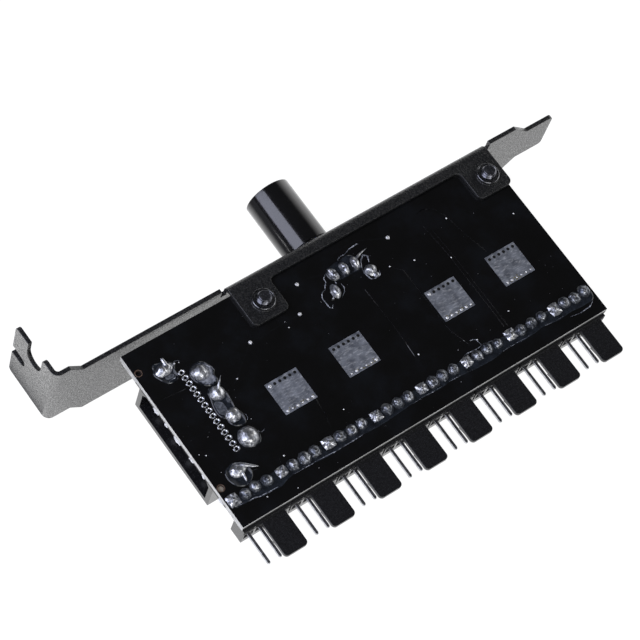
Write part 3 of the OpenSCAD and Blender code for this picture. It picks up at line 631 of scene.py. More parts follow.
# Tin-plated steel strip, stamped: brighter and flatter than the wire.
tinned_steel = grained("tin_plated_steel", "#8e9095", "#b9bbc0", 1.5, 0.32, 0.12, 0.12, 0.008, Metallic=1.0)
# Zinc die casting: pale grey metal with a slightly sandy skin.
die_casting = grained("zinc_die_casting", "#8b8c8e", "#b0b1b3", 0.6, 0.42, 0.14, 0.3, 0.02, Metallic=1.0)
# Phenolic paper board: brown, with pressed paper fibres.
phenolic = grained("phenolic_paper_board", "#7a4a22", "#a56b38", 0.9, 0.45, 0.15, 0.2, 0.01, IOR=1.6)
# Screened carbon film: flat black and slightly grainy.
carbon_film = grained("screened_carbon_film", "#0a0a0b", "#1c1c1d", 0.2, 0.6, 0.1, 0.2, 0.005, IOR=1.5)
# Natural acetal: a warm waxy white.
acetal = grained(
    "natural_acetal", "#d9d6cc", "#ebe8df", 1.4, 0.38, 0.08, 0.08, 0.008, IOR=1.48, Subsurface_Weight=0.08,
    Subsurface_Scale=0.0005,
)
# Phosphor bronze spring strip.
spring_bronze = grained("phosphor_bronze", "#a8763c", "#c79551", 0.8, 0.3, 0.12, 0.1, 0.005, Metallic=1.0)
# Filled epoxy of a power package: matt black with a gritty surface.
moulded_epoxy = grained("moulded_epoxy", "#111112", "#202022", 0.16, 0.55, 0.12, 0.35, 0.012, IOR=1.55)
# Chip resistor: a glazed black face.
resistor_glaze = grained("black_resistor_glaze", "#09090a", "#151516", 0.4, 0.25, 0.08, 0.1, 0.006, IOR=1.5)
# Fired capacitor ceramic: tan and slightly porous.
capacitor_ceramic = grained("fired_capacitor_ceramic", "#8f6b4a", "#ad8760", 0.3, 0.5, 0.1, 0.25, 0.01, IOR=1.6)
# Bare laminate in a drilled hole, browned by the drill and the iron.
browned_laminate = grained("browned_laminate", "#2c211c", "#67503f", 0.35, 0.5, 0.15, 0.3, 0.02, IOR=1.5)
# Rosin that filled a plain hole and took a cream colour from the laminate.
rosin_plug = grained("cream_rosin_plug", "#857b6d", "#b3aa9b", 0.5, 0.35, 0.12, 0.3, 0.02, IOR=1.52)
# Mask over a copper track: the same black, a touch paler where it is thin.
mask_on_track = grained("mask_over_track", "#0b0b0c", "#111214", 1.0, 0.13, 0.06, 0.1, 0.01, IOR=1.52)
# Dust and rosin crumbs: grey, matt and small.
fleck_grey = grained("grey_dust", "#232427", "#54565b", 0.4, 0.6, 0.1, 0.1, 0.01, IOR=1.5)
# Broken glass laminate on the routed edge: white splinters.
laminate_splinter = grained("laminate_splinters", "#c9cac9", "#f2f2f2", 0.3, 0.7, 0.1, 0.4, 0.03, IOR=1.5)


# --- solder joints ---

random.seed(11)
blob_clouds = clouds("solder_swell", 1.6)
fine_clouds = clouds("solder_crease", 0.55)
nugget_cells = cells("solder_facets", 0.8)


def blob(name, middle, reach, height, turn=0.0, swell=0.25):
    """A dome of solder that spread to a thin foot."""
    piece = dome(name, middle, (reach[0] * MM, reach[1] * MM, height * MM), 32, 18)
    widen(piece, lambda where, way: where.z < middle.z + height * MM * 0.18, 1.1, middle)
    everything(piece, "VERT")
    bpy.ops.transform.rotate(value=-turn, orient_axis="Z", center_override=middle)
    close()
    roughen(piece, blob_clouds, swell)
    roughen(piece, fine_clouds, swell * 0.25)
    return piece


def thread(name, points, widths, kind="NURBS"):
    """A drawn-out thread through points in millimetres on the board, as wide there as the widths say."""
    curve = bpy.data.curves.new(name, "CURVE")
    curve.dimensions = "3D"
    curve.bevel_depth = 1.0
    curve.bevel_resolution = 3
    curve.resolution_u = 8
    curve.use_fill_caps = True
    line = curve.splines.new(kind)
    line.points.add(len(points) - 1)
    for point, place, width in zip(line.points, points, widths):
        point.co = (*on_board(*place), 1)
        point.radius = width * MM
    line.use_endpoint_u = True
    line.order_u = 4
    return meshed(name, curve)


def meshed(name, curve):
    """A piece from a curve."""
    piece = bpy.data.objects.new(name, curve)
    bpy.context.scene.collection.objects.link(piece)
    alone(piece)
    bpy.ops.object.convert(target="MESH")
    return bpy.context.object


def nugget(name, round_off):
    """A lump of solder cut off at the board, from a cube of unit size swollen towards a ball."""
    piece = start(bpy.ops.mesh.primitive_cube_add, name, (0, 0, 0), size=1)
    everything(piece)
    bpy.ops.mesh.subdivide(number_cuts=9)
    bpy.ops.transform.tosphere(value=round_off)
    close()
    cut(piece, (0, 0, -0.02))
    widen(piece, lambda where, way: where.z < 0.1, 1.12)
    return piece


def header_joints():
    """The 32 joints along the headers, each a little different in size, turn and height."""
    square = nugget("square_joint", 0.4)
    # The first joint of a header has a hipped crown with four flat sides.
    widen(square, lambda where, way: where.z > 0.2, 0.62)
    widen(square, lambda where, way: where.z > 0.36, 0.6)
    # Its four flats sink between ridges that run to the corners.
    lift(square, lambda where, way: min(abs(where.x), abs(where.y)) < 0.1 and where.z > 0.12, -0.1)
    round_one = nugget("round_joint", 0.9)
    squares, rounds = [], []
    for i, (low, high) in enumerate(islands("fan_header_joints")):
        middle = (low + high) / 2
        middle.z = 0.0
        first = i % 4 == 0
        wide = random.uniform(2.0, 2.25) if first else random.uniform(1.75, 2.05)
        tall = random.uniform(1.6, 1.9) if first else random.uniform(1.4, 1.9)
        grow = Vector((wide, wide * random.uniform(0.9, 1.08), tall)) * MM
        move = Vector((random.uniform(-0.12, 0.12), random.uniform(-0.15, 0.15), 0)) * MM
        turn = random.uniform(-0.15, 0.15) if first else random.uniform(-0.8, 0.8)
        joint = copy_of(square if first else round_one, "header_joint_%d" % i, middle + move, turn, grow)
        (squares if first else rounds).append(joint)
    bpy.data.objects.remove(square)
    bpy.data.objects.remove(round_one)
    for group, name, facets, material, replaced in (
        (rounds, "header_joints_round", 0.5, cold_solder, ("fan_header_joints",)),
        (squares, "header_joints_first", 0.28, bright_solder, ()),
    ):
        piece = join(group, name)
        roughen(piece, nugget_cells, facets)
        roughen(piece, fine_clouds, 0.12)
        finish(piece, material, replaces=replaced, angle=40)


def power_joints():
    """Four large joints of the power pins and two of the board locks."""
    parts = []
    sizes = [(10.75, 1.6, 1.45), (11.1, 1.42, 1.3), (11.15, 1.42, 1.2), (11.05, 1.9, 1.5)]
    for i, (x, reach, height) in enumerate(sizes):
        at = on_board(x, POWER_Y + (1.5 - i) * POWER_PITCH)
        parts.append(blob("power_joint_%d" % (i + 1), at, (reach, reach * 0.97), height, 0.4 * i, 0.35))
    # The lock joints are long lumps with a pinch across them.
    for name, x, y, reach, height, turn in (
        ("far", 5.3, 33.1, (1.75, 1.15), 1.05, 0.1), ("near", 5.6, 9.7, (1.6, 1.25), 1.0, 0.2),
    ):
        lump = blob("lock_joint_" + name, on_board(x, y), reach, height, turn, 0.45)
        pinch = on_board(x + 0.3, 0).x
        lift(lump, lambda where, way: abs(where.x - pinch) < 0.3 * MM and where.z > 0.3 * MM, -0.14 * MM)
        parts.append(lump)
    for name, points, widths in (
        (
            "lock_spike", ((6.0, 33.6, 0.6), (6.0, 34.1, 0.75), (5.9, 34.6, 0.85), (5.95, 35.0, 0.85)),
            (0.45, 0.36, 0.42, 0.28),
        ),
        (
            "pin_spike", ((11.4, 24.6, 1.2), (11.6, 24.9, 1.8), (12.2, 25.5, 2.0), (12.9, 26.2, 2.1)),
            (0.3, 0.24, 0.14, 0.02),
        ),
        ("lock_tail", ((6.3, 10.2, 0.6), (7.1, 9.6, 0.75), (8.1, 8.7, 0.75), (9.1, 8.15, 0.7)), (0.4, 0.5, 0.34, 0.03)),
        (
            "lock_drip", ((5.9, 8.9, 0.25), (5.95, 8.4, 0.3), (5.85, 7.8, 0.2), (5.75, 7.1, 0.1)),
            (0.45, 0.22, 0.26, 0.12),
        ),
    ):
        parts.append(thread(name, points, widths))
    finish(join(parts, "power_solder_joints"), bright_solder, replaces=("power_joints",), angle=60)


def control_joints():
    """Three terminal joints in a row and two long lug joints below them."""
    parts = []
    for i, x in enumerate((44.4, 46.95, 49.4)):
        parts.append(blob("terminal_joint_%d" % (i + 1), on_board(x, 33.15), (0.78, 1.25), 1.05, 0.1 - 0.12 * i, 0.55))
    parts.append(blob("lug_joint_1", on_board(42.6, 30.0), (0.9, 1.45), 1.05, -0.15, 0.45))
    parts.append(blob("lug_joint_2", on_board(51.2, 30.3), (1.1, 1.15), 1.1, 0.2, 0.45))
    parts.append(blob("lug_joint_3", on_board(51.6, 28.95), (0.6, 0.55), 0.5, 0.0, 0.2))
    for name, points, widths in (
        (
            "terminal_wisp", ((50.0, 33.6, 0.35), (50.8, 34.0, 0.5), (51.6, 34.2, 0.5), (53.1, 34.4, 0.3)),
            (0.25, 0.3, 0.24, 0.03),
        ),
        ("terminal_peak", ((44.0, 33.7, 0.5), (43.9, 34.2, 0.75), (43.8, 34.6, 0.4)), (0.4, 0.36, 0.05)),
        ("lug_drop", ((41.2, 28.9, 0.15), (41.35, 29.1, 0.2), (41.5, 29.2, 0.1)), (0.2, 0.28, 0.1)),
    ):
        parts.append(thread(name, points, widths))
    finish(join(parts, "control_solder_joints"), bright_solder, replaces=("control_joints",), angle=60)


# --- dried flux, with its outlines and lines in millimetres on the board ---

# The film under each big joint.
FILMS = (
    (
        (12.31, 31.1), (13.1, 29.9), (13.5, 28.5), (12.9, 27.7), (12.9, 26.5), (12.34, 26.0), (10.8, 26.1), (9.5, 27.3),
        (8.8, 28.9), (9.0, 30.2), (10.55, 31.2),
    ),
    (
        (9.9, 25.5), (11.2, 25.8), (12.5, 24.6), (12.6, 21.5), (12.1, 19.9), (10.77, 19.2), (9.69, 19.1), (8.95, 19.9),
        (8.75, 21.6), (9.3, 23.7),
    ),
    ((9.74, 19.0), (9.85, 17.6), (10.9, 16.7), (12.2, 16.6), (12.65, 17.1), (12.5, 19.6), (11.0, 20.4)),
    (
        (10.1, 16.05), (9.4, 15.25), (9.3, 13.9), (9.55, 12.9), (10.4, 12.1), (11.9, 11.9), (12.9, 12.6), (13.2, 14.4),
        (12.4, 15.8), (11.2, 16.0),
    ),
    (
        (4.0, 35.0), (3.5, 34.0), (3.1, 33.2), (3.5, 31.9), (4.1, 30.9), (4.6, 30.35), (6.0, 30.15), (6.9, 30.6),
        (7.2, 32.2), (7.6, 33.2), (6.6, 34.4), (5.0, 34.9),
    ),
    (
        (3.45, 10.7), (2.95, 9.5), (3.2, 8.05), (4.0, 6.9), (5.6, 6.4), (6.7, 6.8), (7.7, 8.1), (7.4, 9.9),
        (6.0, 11.15), (4.4, 11.1),
    ),
    (
        (43.4, 34.3), (45.0, 34.9), (47.4, 35.1), (49.6, 35.0), (50.2, 33.0), (49.9, 31.7), (47.6, 31.5), (45.0, 31.6),
        (43.4, 32.4),
    ),
)
# The near edge of the film along the headers.
ROW_EDGE = (
    (0.6, 4.2), (3.0, 3.65), (4.9, 3.6), (6.0, 3.25), (8.6, 3.0), (10.9, 2.95), (12.4, 3.4), (15.9, 3.75), (18.3, 3.5),
    (22.0, 3.2), (26.7, 3.4), (30.7, 3.3), (33.2, 3.15), (36.7, 3.3), (41.0, 3.55), (44.6, 3.6), (48.1, 3.35),
    (51.3, 3.6), (53.9, 3.3), (56.8, 3.05), (61.3, 3.0), (64.0, 3.4), (67.5, 3.1), (70.4, 3.15), (73.5, 3.4),
    (76.8, 2.9), (79.5, 3.1), (83.2, 2.9), (85.6, 3.3),
)
# Thicker, milky skins on the films, each with its thickness.
SKINS = (
    (((9.6, 22.9), (10.6, 22.6), (11.0, 21.2), (10.4, 20.0), (9.4, 20.2), (9.15, 21.6)), 0.09),
    (((12.0, 22.6), (12.4, 22.5), (12.3, 21.4), (11.9, 21.5)), 0.09),
    (((4.6, 31.5), (5.6, 31.0), (6.4, 31.1), (6.3, 31.7), (5.4, 31.9)), 0.08),
)
# Pale rosin beside the far power joint.
SKIRT = (
    (10.6, 30.9), (11.9, 30.9), (12.8, 29.9), (13.2, 28.5), (12.7, 27.7), (12.7, 26.7), (12.2, 26.3), (10.9, 26.4),
    (9.8, 27.5), (9.2, 28.9), (9.4, 30.0),
)
# Raised lines of rosin, each with its name and width.
BEADS = (
    ("row_1", ((1.4, 4.05), (3.0, 3.75), (4.9, 3.7), (6.0, 3.35), (8.6, 3.15), (10.2, 3.1)), 0.15),
    ("row_2", ((14.0, 3.6), (17.9, 3.6), (21.0, 3.5), (24.0, 3.3), (28.9, 3.35), (32.6, 3.4)), 0.09),
    ("row_3", ((41.0, 3.6), (44.6, 3.7), (48.1, 3.5), (51.3, 3.65), (53.9, 3.4)), 0.08),
    ("row_4", ((61.3, 3.1), (64.0, 3.45), (67.5, 3.25), (70.4, 3.25), (73.5, 3.45), (76.8, 3.1), (79.5, 3.2)), 0.09),
    ("arc", ((47.0, 35.3), (47.6, 35.6), (48.9, 35.7), (50.3, 36.05), (51.9, 36.25), (52.5, 36.1)), 0.12),
    ("right_loop", (
        (52.0, 31.7), (52.4, 32.9), (52.25, 33.5), (51.7, 33.7), (50.9, 33.05), (50.05, 31.8), (49.8, 30.4),
        (50.0, 29.2), (50.3, 28.6), (51.1, 28.4), (52.2, 28.55), (52.7, 29.4),
    ), 0.15),
    ("left_loop", (
        (43.4, 34.2), (42.3, 33.5), (42.15, 32.5), (41.6, 32.0), (41.25, 31.5), (40.3, 31.1), (39.6, 30.2),
        (39.5, 29.1), (39.7, 27.9), (40.1, 27.4), (40.6, 28.1),
    ), 0.13),
    ("left_bridge", ((43.7, 31.9), (43.9, 31.4), (43.4, 31.0)), 0.14),
    ("left_hook", ((44.5, 30.9), (44.6, 29.9), (44.1, 29.1), (43.1, 28.4)), 0.12),
    ("lock_curl", ((7.3, 33.4), (7.9, 33.7), (8.7, 33.5), (8.9, 33.0)), 0.05),
    ("lock_film", ((4.5, 30.5), (5.3, 30.9), (6.2, 30.7), (6.6, 31.4)), 0.1),
    ("curl", ((13.3, 14.1), (13.8, 13.6), (14.5, 13.8)), 0.08),
    ("strand", ((12.9, 16.9), (13.2, 17.4), (13.25, 18.3)), 0.06),
    ("row_curl", ((58.8, 8.3), (59.5, 8.35), (60.1, 7.9), (60.2, 6.5)), 0.12),
    ("row_top", ((55.5, 6.3), (57.0, 6.6), (58.6, 6.3), (60.4, 6.5), (62.6, 6.2)), 0.1),
    ("end_patch", ((79.0, 2.3), (81.5, 2.0), (84.2, 2.2), (85.2, 2.9)), 0.08),
)


def puddle(name, outline, thickness=0.06):
    """A film of rosin with a raised rim, from a closed curve through the outline."""
    curve = bpy.data.curves.new(name, "CURVE")
    curve.dimensions = "2D"
    curve.fill_mode = "BOTH"
    curve.resolution_u = 6
    line = curve.splines.new("BEZIER")
    line.bezier_points.add(len(outline) - 1)
    for point, (x, y) in zip(line.bezier_points, outline):
        point.co = on_board(x, y)
        point.handle_left_type = point.handle_right_type = "AUTO"
    line.use_cyclic_u = True
    piece = meshed(name, curve)
    everything(piece, "VERT")
    bpy.ops.mesh.remove_doubles(threshold=0.002 * MM)
    bpy.ops.mesh.dissolve_limited(angle_limit=math.radians(0.1))
    close()
    everything(piece)
    extrude(0, 0, thickness)
    inset(0.13)
    shift(0, 0, thickness * 1.6)
    inset(0.12)
    shift(0, 0, -thickness * 1.9)
    close()
    everything(piece)
    bpy.ops.mesh.normals_make_consistent(inside=False)
    close()
    for polygon in piece.data.polygons:
        polygon.material_index = 0 if len(polygon.vertices) > 4 else 1
    return piece


def bead(name, points, width):
    """A wavering thread of rosin, with two more bends between each two points."""
    jitter = [random.uniform(0.5, 1.2) for _ in points]
    jitter[0] = jitter[-1] = 0.2
    dense, widths = [], []
    for i in range(len(points) - 1):
        for k in range(3):
            t = k / 3
            x = points[i][0] * (1 - t) + points[i + 1][0] * t + random.uniform(-0.1, 0.1)
            y = points[i][1] * (1 - t) + points[i + 1][1] * t + random.uniform(-0.09, 0.09)
            dense.append((x, y, 0.02))
            widths.append(width * (jitter[i] * (1 - t) + jitter[i + 1] * t) * random.uniform(0.7, 1.2))
    dense.append((*points[-1], 0.02))
    widths.append(width * 0.2)
    return thread(name, dense, widths)


def flux():
    """Rosin left by hand soldering: films round the big joints and a long wavy line along the headers."""
    films = [puddle("film_%d" % (i + 1), outline) for i, outline in enumerate(FILMS)]
    # The row's upper edge lies under the joints, from the right end to the left.
    upper = [(85.6 - i * 2.125, 5.7 + random.uniform(-0.45, 0.45)) for i in range(41)]
    films.append(puddle("film_row", [*ROW_EDGE, *upper], 0.045))
    skins = [puddle("skin_%d" % (i + 2), outline, thickness) for i, (outline, thickness) in enumerate(SKINS)]
    for piece, film in (
        (join(films, "flux_films"), flux_film), (join(skins, "flux_skins"), milky_film),
        (puddle("flux_skirt", SKIRT, 0.1), pale_film),
    ):
        finish(piece, [film, flux_rim], angle=50)
    beads = [bead("flux_" + name, points, width) for name, points, width in BEADS]
    finish(join(beads, "flux_beads"), flux_rim, angle=60)


# --- board details ---


def plated_eyelets():
    """Fifteen open plated holes: a tube with a rounded ring on each face."""
    made = []
    for i, (low, high) in enumerate(islands("plated_holes")):
        middle = (low + high) / 2
        tube = cylinder("eyelet_%d" % i, middle, 0.335, 1.62, 28, end_fill_type="NOTHING")
        for side in (1, -1):
            pick(tube, lambda where, way: (where.z - middle.z) * side > 0.6 * MM, "VERT")
            # A wide lip inside, and an oval rim that the row's pitch leaves room for only crosswise.
            for across, along, rise in (
                (1.2, 1.18, 0.07), (1.2, 1.15, 0.055), (1.15, 1.09, 0.02), (1.13, 1.04, 0.0),
                (1.12, 1.05, -0.04), (1.04, 1.03, -0.12),
            ):
                extrude(0, 0, rise * side)
                scale(across, along, 1, middle)
            close()
        made.append(tube)
    piece = join(made, "plated_eyelets")
    clean(piece)
    finish(piece, eyelet_tin, replaces=("plated_holes",), angle=60)


def solder_dots():
    """Small vias filled with solder, as low domes on the board and along each heat pad.
    The far row of each pad holds black discs of painted shade for its open holes, but for one filled via on every
    second pad."""
    spots = [((low + high) / 2, (high.x - low.x) / 2 / MM, 0.0) for low, high in islands("tinned_vias")]
    pads = islands("thermal_pads")
    for i, (low, high) in enumerate(pads):
        for k in range(6):
            spot = Vector((low.x + (PAD_VIA_FIRST + k * PAD_VIA_PITCH) * MM, low.y + 0.55 * MM, 0))
            spots.append((spot, random.uniform(0.2, 0.3), 0.04))
        if i % 2 == 0:
            spots.append((Vector((low.x + PAD_VIA_FIRST * MM, high.y - PAD_VIA_FAR * MM, 0)), 0.34, 0.03))
    plugs, scraps, made = [], [], []
    for i, (low, high) in enumerate(pads):
        for k in range(6):
            x = (low.x + high.x) / 2 + (k - 2.5) * PAD_VIA_PITCH * MM
            # Black discs stand in the open holes of the far row: painted shade for their dark insides.
            if k or i % 2:
                at = (x, high.y - PAD_VIA_FAR * MM, high.z - 0.11 * MM)
                plug = cylinder("plug_%d_%d" % (i, k), at, 0.32, 0.26, 20)
                pick(plug, lambda where, way: way.z > 0.9)
                inset(0.06)
                shift(0, 0, -0.015)
                close()
                plugs.append(plug)
        for k in range(16):
            spot = (low.x + random.uniform(0.5, 6.7) * MM, low.y + random.uniform(0.2, 1.0) * MM, 0.06 * MM)
            stretch = (random.uniform(0.8, 2.2), random.uniform(0.6, 1.3), 0.45)
            scraps.append(ball("scrap_%d_%d" % (i, k), spot, stretch, random.uniform(0.07, 0.15)))
    finish(join(plugs, "via_shade_discs"), via_hole_shade, angle=60)
    scraps = join(scraps, "pad_scraps")
    roughen(scraps, fine_clouds, 0.08)
    finish(scraps, rosin_scrap, angle=60)
    for i, (spot, radius, rise) in enumerate(spots):
        reach = radius * MM * (1.1 if radius > 0.25 else 0.85)
        middle = Vector((spot.x, spot.y, rise * MM))
        made.append(dome("dot_%d" % i, middle, (reach, reach, min(reach, 0.24 * MM)), 16, 8))
    finish(join(made, "solder_filled_vias"), glint_white_solder, replaces=("tinned_vias",), angle=60)


def board_trim():
    """Splinters on the routed end of the board, and browned rims and plugs in the two plain holes."""
    made = []
    for i, (y, reach) in enumerate(((27.4, 0.9), (24.2, 0.5), (20.6, 1.1), (16.0, 0.7), (12.2, 0.5), (6.6, 0.8))):
        nub = block("nub_%d" % i, on_board(-0.1 - reach * 0.06, y - reach, -1.5), on_board(0.05, y + reach, -1.2))
        everything(nub)
        bpy.ops.mesh.subdivide(number_cuts=5)
        bpy.ops.transform.tosphere(value=0.35)
        close()
        roughen(nub, fine_clouds, 0.35)
        made.append(nub)
    finish(join(made, "edge_splinters"), laminate_splinter, angle=60)
    rims = []
    for name, y, top, material in (
        ("peg_far", POWER_Y + PLAIN_HOLE_REACH, -0.75, black_polyester),
        ("peg_near", POWER_Y - PLAIN_HOLE_REACH, -0.35, rosin_plug),
    ):
        rim = ring("rim", on_board(PLAIN_HOLE_X, y), 0.68, 0.09, 36, 8, (1, 1, 0.5))
        roughen(rim, fine_clouds, 0.06)
        rims.append(rim)
        peg = cylinder(name, on_board(PLAIN_HOLE_X, y, (top - BOARD_T) / 2), 0.58, BOARD_T + top, 32)
        round_edges(peg, 0.12)
        finish(peg, material)
    finish(join(rims, "plain_hole_rims"), browned_laminate, angle=60)


def board_traces():
    """Copper tracks that lift the mask by a few thousandths of a millimetre."""
    made = []
    for i, (points, width) in enumerate((
        (((65.9, 32.7), (66.45, 24.8), (66.45, 7.3)), 0.3), (((66.9, 31.5), (67.2, 24.8), (67.2, 7.3)), 0.25),
        (((47.74, 27.5), (48.0, 18.6), (47.6, 8.1)), 0.3), (((1.3, 28.4), (5.8, 28.0), (7.6, 28.0)), 0.3),
        (((26.4, 14.2), (26.0, 10.6), (25.4, 7.7)), 0.3),
        (((66.2, 35.6), (68.0, 35.9), (69.9, 34.76), (71.15, 32.6), (72.2, 26.6), (73.4, 22.0)), 0.3),
        (((45.8, 36.9), (52.5, 36.9), (56.5, 35.0), (58.3, 34.3)), 0.3),
        (((37.1, 35.0), (40.0, 35.0), (43.0, 34.0)), 0.3),
        (((14.6, 23.9), (15.9, 24.8), (22.4, 29.6), (33.9, 29.6)), 0.3),
        (((54.9, 29.0), (56.8, 27.1), (56.8, 12.0), (58.3, 7.6)), 0.3),
    )):
        track = thread("trace_%d" % i, [(x, y, 0.0) for x, y in points], [width / 2] * len(points), "POLY")
        everything(track, "VERT")
        scale(1, 1, 0.02 / width)
        close()
        # Only the crown of the flattened tube stands above the mask, with shallow sides.
        cut(track, (0, 0, 0.008 * MM))
        everything(track, "VERT")
        shift(0, 0, -0.0074)
        close()
        made.append(track)
    finish(join(made, "board_traces"), mask_on_track, angle=80)


def crumbs():
    """Solder balls and rosin crumbs that stuck to the board."""
    balls = []
    for i, (x, y, radius) in enumerate((
        (7.67, 33.2, 0.2), (8.55, 33.0, 0.13), (2.23, 15.0, 0.15), (1.25, 15.8, 0.08), (2.75, 10.9, 0.07),
        (13.0, 1.05, 0.12), (18.63, 2.26, 0.06), (4.69, 17.9, 0.05), (13.54, 16.75, 0.08), (57.8, 8.95, 0.06),
        (30.54, 29.7, 0.05), (52.1, 2.4, 0.05), (38.9, 29.6, 0.05), (55.65, 8.0, 0.05), (60.1, 7.83, 0.15),
        (76.4, 30.05, 0.04), (36.4, 3.4, 0.05), (68.94, 18.98, 0.035),
    )):
        crumb = ball("ball_%d" % i, on_board(x, y, radius * 0.8), (1, 1, 1), radius)
        roughen(crumb, fine_clouds, radius * 0.5)
        balls.append(crumb)
    # The solder balls carry the same painted glint as the vias.
    finish(join(balls, "solder_balls"), glint_white_solder, angle=60)
    flecks = []
    for i in range(70):
        x, y = random.uniform(0.8, 85.5), random.uniform(0.5, 37.0)
        size = random.uniform(0.03, 0.07)
        stretch = (random.uniform(0.6, 2.0), random.uniform(0.6, 1.6), 0.5)
        flecks.append(ball("fleck_%d" % i, on_board(x, y, 0.012), stretch, size, 1))
    finish(join(flecks, "rosin_flecks"), fleck_grey, angle=60)


# --- fan headers ---


def header_body():
    """The first header: a base with a pocket round each pin, and a locking tab with its ramp."""
    low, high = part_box("fan_header_1")
    top = high.z
    front = on_board(0, -0.6).y
    first = on_board(1.5, 0).x
    base = block("header_base", (low.x, front, low.z), (high.x, high.y, top))
    for k in range(5):
        between = first + (k - 0.5) * PIN_PITCH * MM
        if low.x < between < high.x:
            cut(base, (between, 0, 0), (1, 0, 0), drop=False)
    pocket_low, pocket_high = -5.0 * MM, -2.6 * MM
    for level in (pocket_high, pocket_low):
        cut(base, (0, 0, level), drop=False)
    pick(base, lambda where, way: way.y < -0.9 and pocket_low < where.z < pocket_high)
    inset(0.28, each=True)
    extrude(0, 0.45, 0)
    scale(0.94, 1, 0.8, (first + 1.5 * PIN_PITCH * MM, front, (pocket_low + pocket_high) / 2))
    close()
    # A slot up the face between each two pins, as the mould leaves it.
    pick(base, lambda where, way: way.y < -0.9 and where.z > pocket_high)
    inset(0.22, each=True)
    shift(0, 0.25, 0)
    close()
    round_edges(base, 0.07)
    # The tab stands in front of the third pin, with its free corners rounded.
    tab_half = 2.6
    tab_low, tab_high = first + (2 * PIN_PITCH - tab_half) * MM, first + (2 * PIN_PITCH + tab_half) * MM
    tab = block("header_tab", (tab_low, low.y, top - 0.85 * MM), (tab_high, front + 1.2 * MM, top - 0.004 * MM))
    pick(tab, lambda where, way: abs(way.z) > 0.9 and where.y < low.y + MM, "EDGE")
    bpy.ops.mesh.bevel(offset=0.85 * MM, segments=8)
    close()
    round_edges(tab, 0.12, 3)
    ramp_low = (tab_low + 0.12 * MM, low.y + 1.4 * MM, top - 1.35 * MM)
    wedge = block("header_ramp", ramp_low, (tab_high - 0.12 * MM, front - 3.6 * MM, top - 0.75 * MM))
    lift(wedge, lambda where, way: where.z < top - 1.3 * MM and where.y < low.y + 1.5 * MM, 0.5 * MM)
    round_edges(wedge, 0.08)
    return join([base, tab, wedge], "fan_header_body_1")


def fan_headers():
    """Eight headers, each with its own mesh."""
    bodies = [header_body()]
    for h in range(1, 8):
        bodies.append(copy_of(bodies[0], "fan_header_body_%d" % (h + 1), Vector((h * HEADER_PITCH * MM, 0, 0))))
    for h, piece in enumerate(bodies):
        finish(piece, black_nylon, replaces=("fan_header_%d" % (h + 1),))
        flatten_shading(piece)
        softened("fan_header_pins_%d" % (h + 1), 0.05, tinned_wire)


# --- speed control knob ---


def knob():
    """Turned knob: a straight barrel with a small chamfer, a faced end and a hollow back."""
    low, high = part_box("knob_shell")
    radius, length = (high.x - low.x) / 2 / MM, (high.y - low.y) / MM
    quarter = (math.radians(90), 0, 0)
    shell = cylinder("knob_barrel", (low + high) / 2, radius, length, 128, rotation=quarter)
    pick(shell, lambda where, way: way.y > 0.9)
    inset(0.35)
    inset(0.25)
    shift(0, -0.12, 0)
    inset(1.6)
    inset(1.4)
    shift(0, -0.08, 0)
    close()
    pick(shell, lambda where, way: way.y < -0.9)
    inset(0.9)
    extrude(0, length - 2.4, 0)
    close()
    round_edges(shell, 0.14, 3, 40)
    finish(shell, anodised, body="knob", replaces=("knob_shell",), angle=30)


# --- board screws ---


def screw(low, high):
    """A pan head below the board with a round recess where the real one has a cross, and a rolled thread up through the
    collar.
    """
    x, y = (low.x + high.x) / 2, (low.y + high.y) / 2
    seat, tip = -BOARD_T, high.z / MM
    head = cylinder("screw_head", (x, y, (seat - 0.85) * MM), 2.7, 1.7, 64)
    pick(head, lambda where, way: way.z < -0.9)
    inset(0.5)
    inset(1.2)
    close()
    pick(head, lambda where, way: way.z < -0.9 and math.hypot(where.x - x, where.y - y) < 0.5 * MM)
    extrude(0, 0, 0.9)
    scale(0.55, 0.55, 1, (x, y, 0))
    close()
    round_edges(head, 0.3, 4, 50)
    core = cylinder("screw_core", (x, y, (seat + tip) / 2 * MM), 1.22, tip - seat, 48)
    pick(core, lambda where, way: way.z > 0.9)
    inset(0.35)
    shift(0, 0, -0.12)
    close()
    round_edges(core, 0.32, 3)
    # Rolled thread: a V-shaped rib wound round the core, drawn coarse so that it shows.
    pitch, turns = 0.65, 5
    rib = start(bpy.ops.mesh.primitive_circle_add, "screw_rib", (0, 0, 0), vertices=4, radius=0.28 * MM)
    everything(rib, "VERT")
    bpy.ops.transform.rotate(value=math.radians(90), orient_axis="X", center_override=(0, 0, 0))
    shift(1.15, 0, 0)
    close()
    apply(
        rib, "SCREW", screw_offset=pitch * MM, angle=math.radians(360), steps=36, render_steps=36,
        iterations=turns, axis="Z", use_merge_vertices=False,
    )
    rib.data.transform(Matrix.Translation((x, y, (tip - turns * pitch - 0.35) * MM)))
    return [head, core, rib]


def board_screws():
    """Two screws, and metal rings on the rims of their collars that paint the collars' highlights."""
    made, rims = [], []
    for low, high in islands("board_screws"):
        made += screw(low, high)
        middle = (low + high) / 2
        rims.append(ring("collar_highlight_ring", (middle.x, middle.y, high.z - 1.5 * MM), 2.1, 0.19, 64, 10))
    rims = join(rims, "collar_highlight_rings")
    roughen(rims, fine_clouds, 0.1)
    finish(rims, collar_glint_metal, angle=60)
    piece = join(made, "board_screws_threaded")
    clean(piece)
    finish(piece, black_zinc, replaces=("board_screws",), angle=40)


header_joints()
power_joints()
control_joints()
flux()
plated_eyelets()
solder_dots()
board_trim()
board_traces()
crumbs()
fan_headers()
knob()
board_screws()

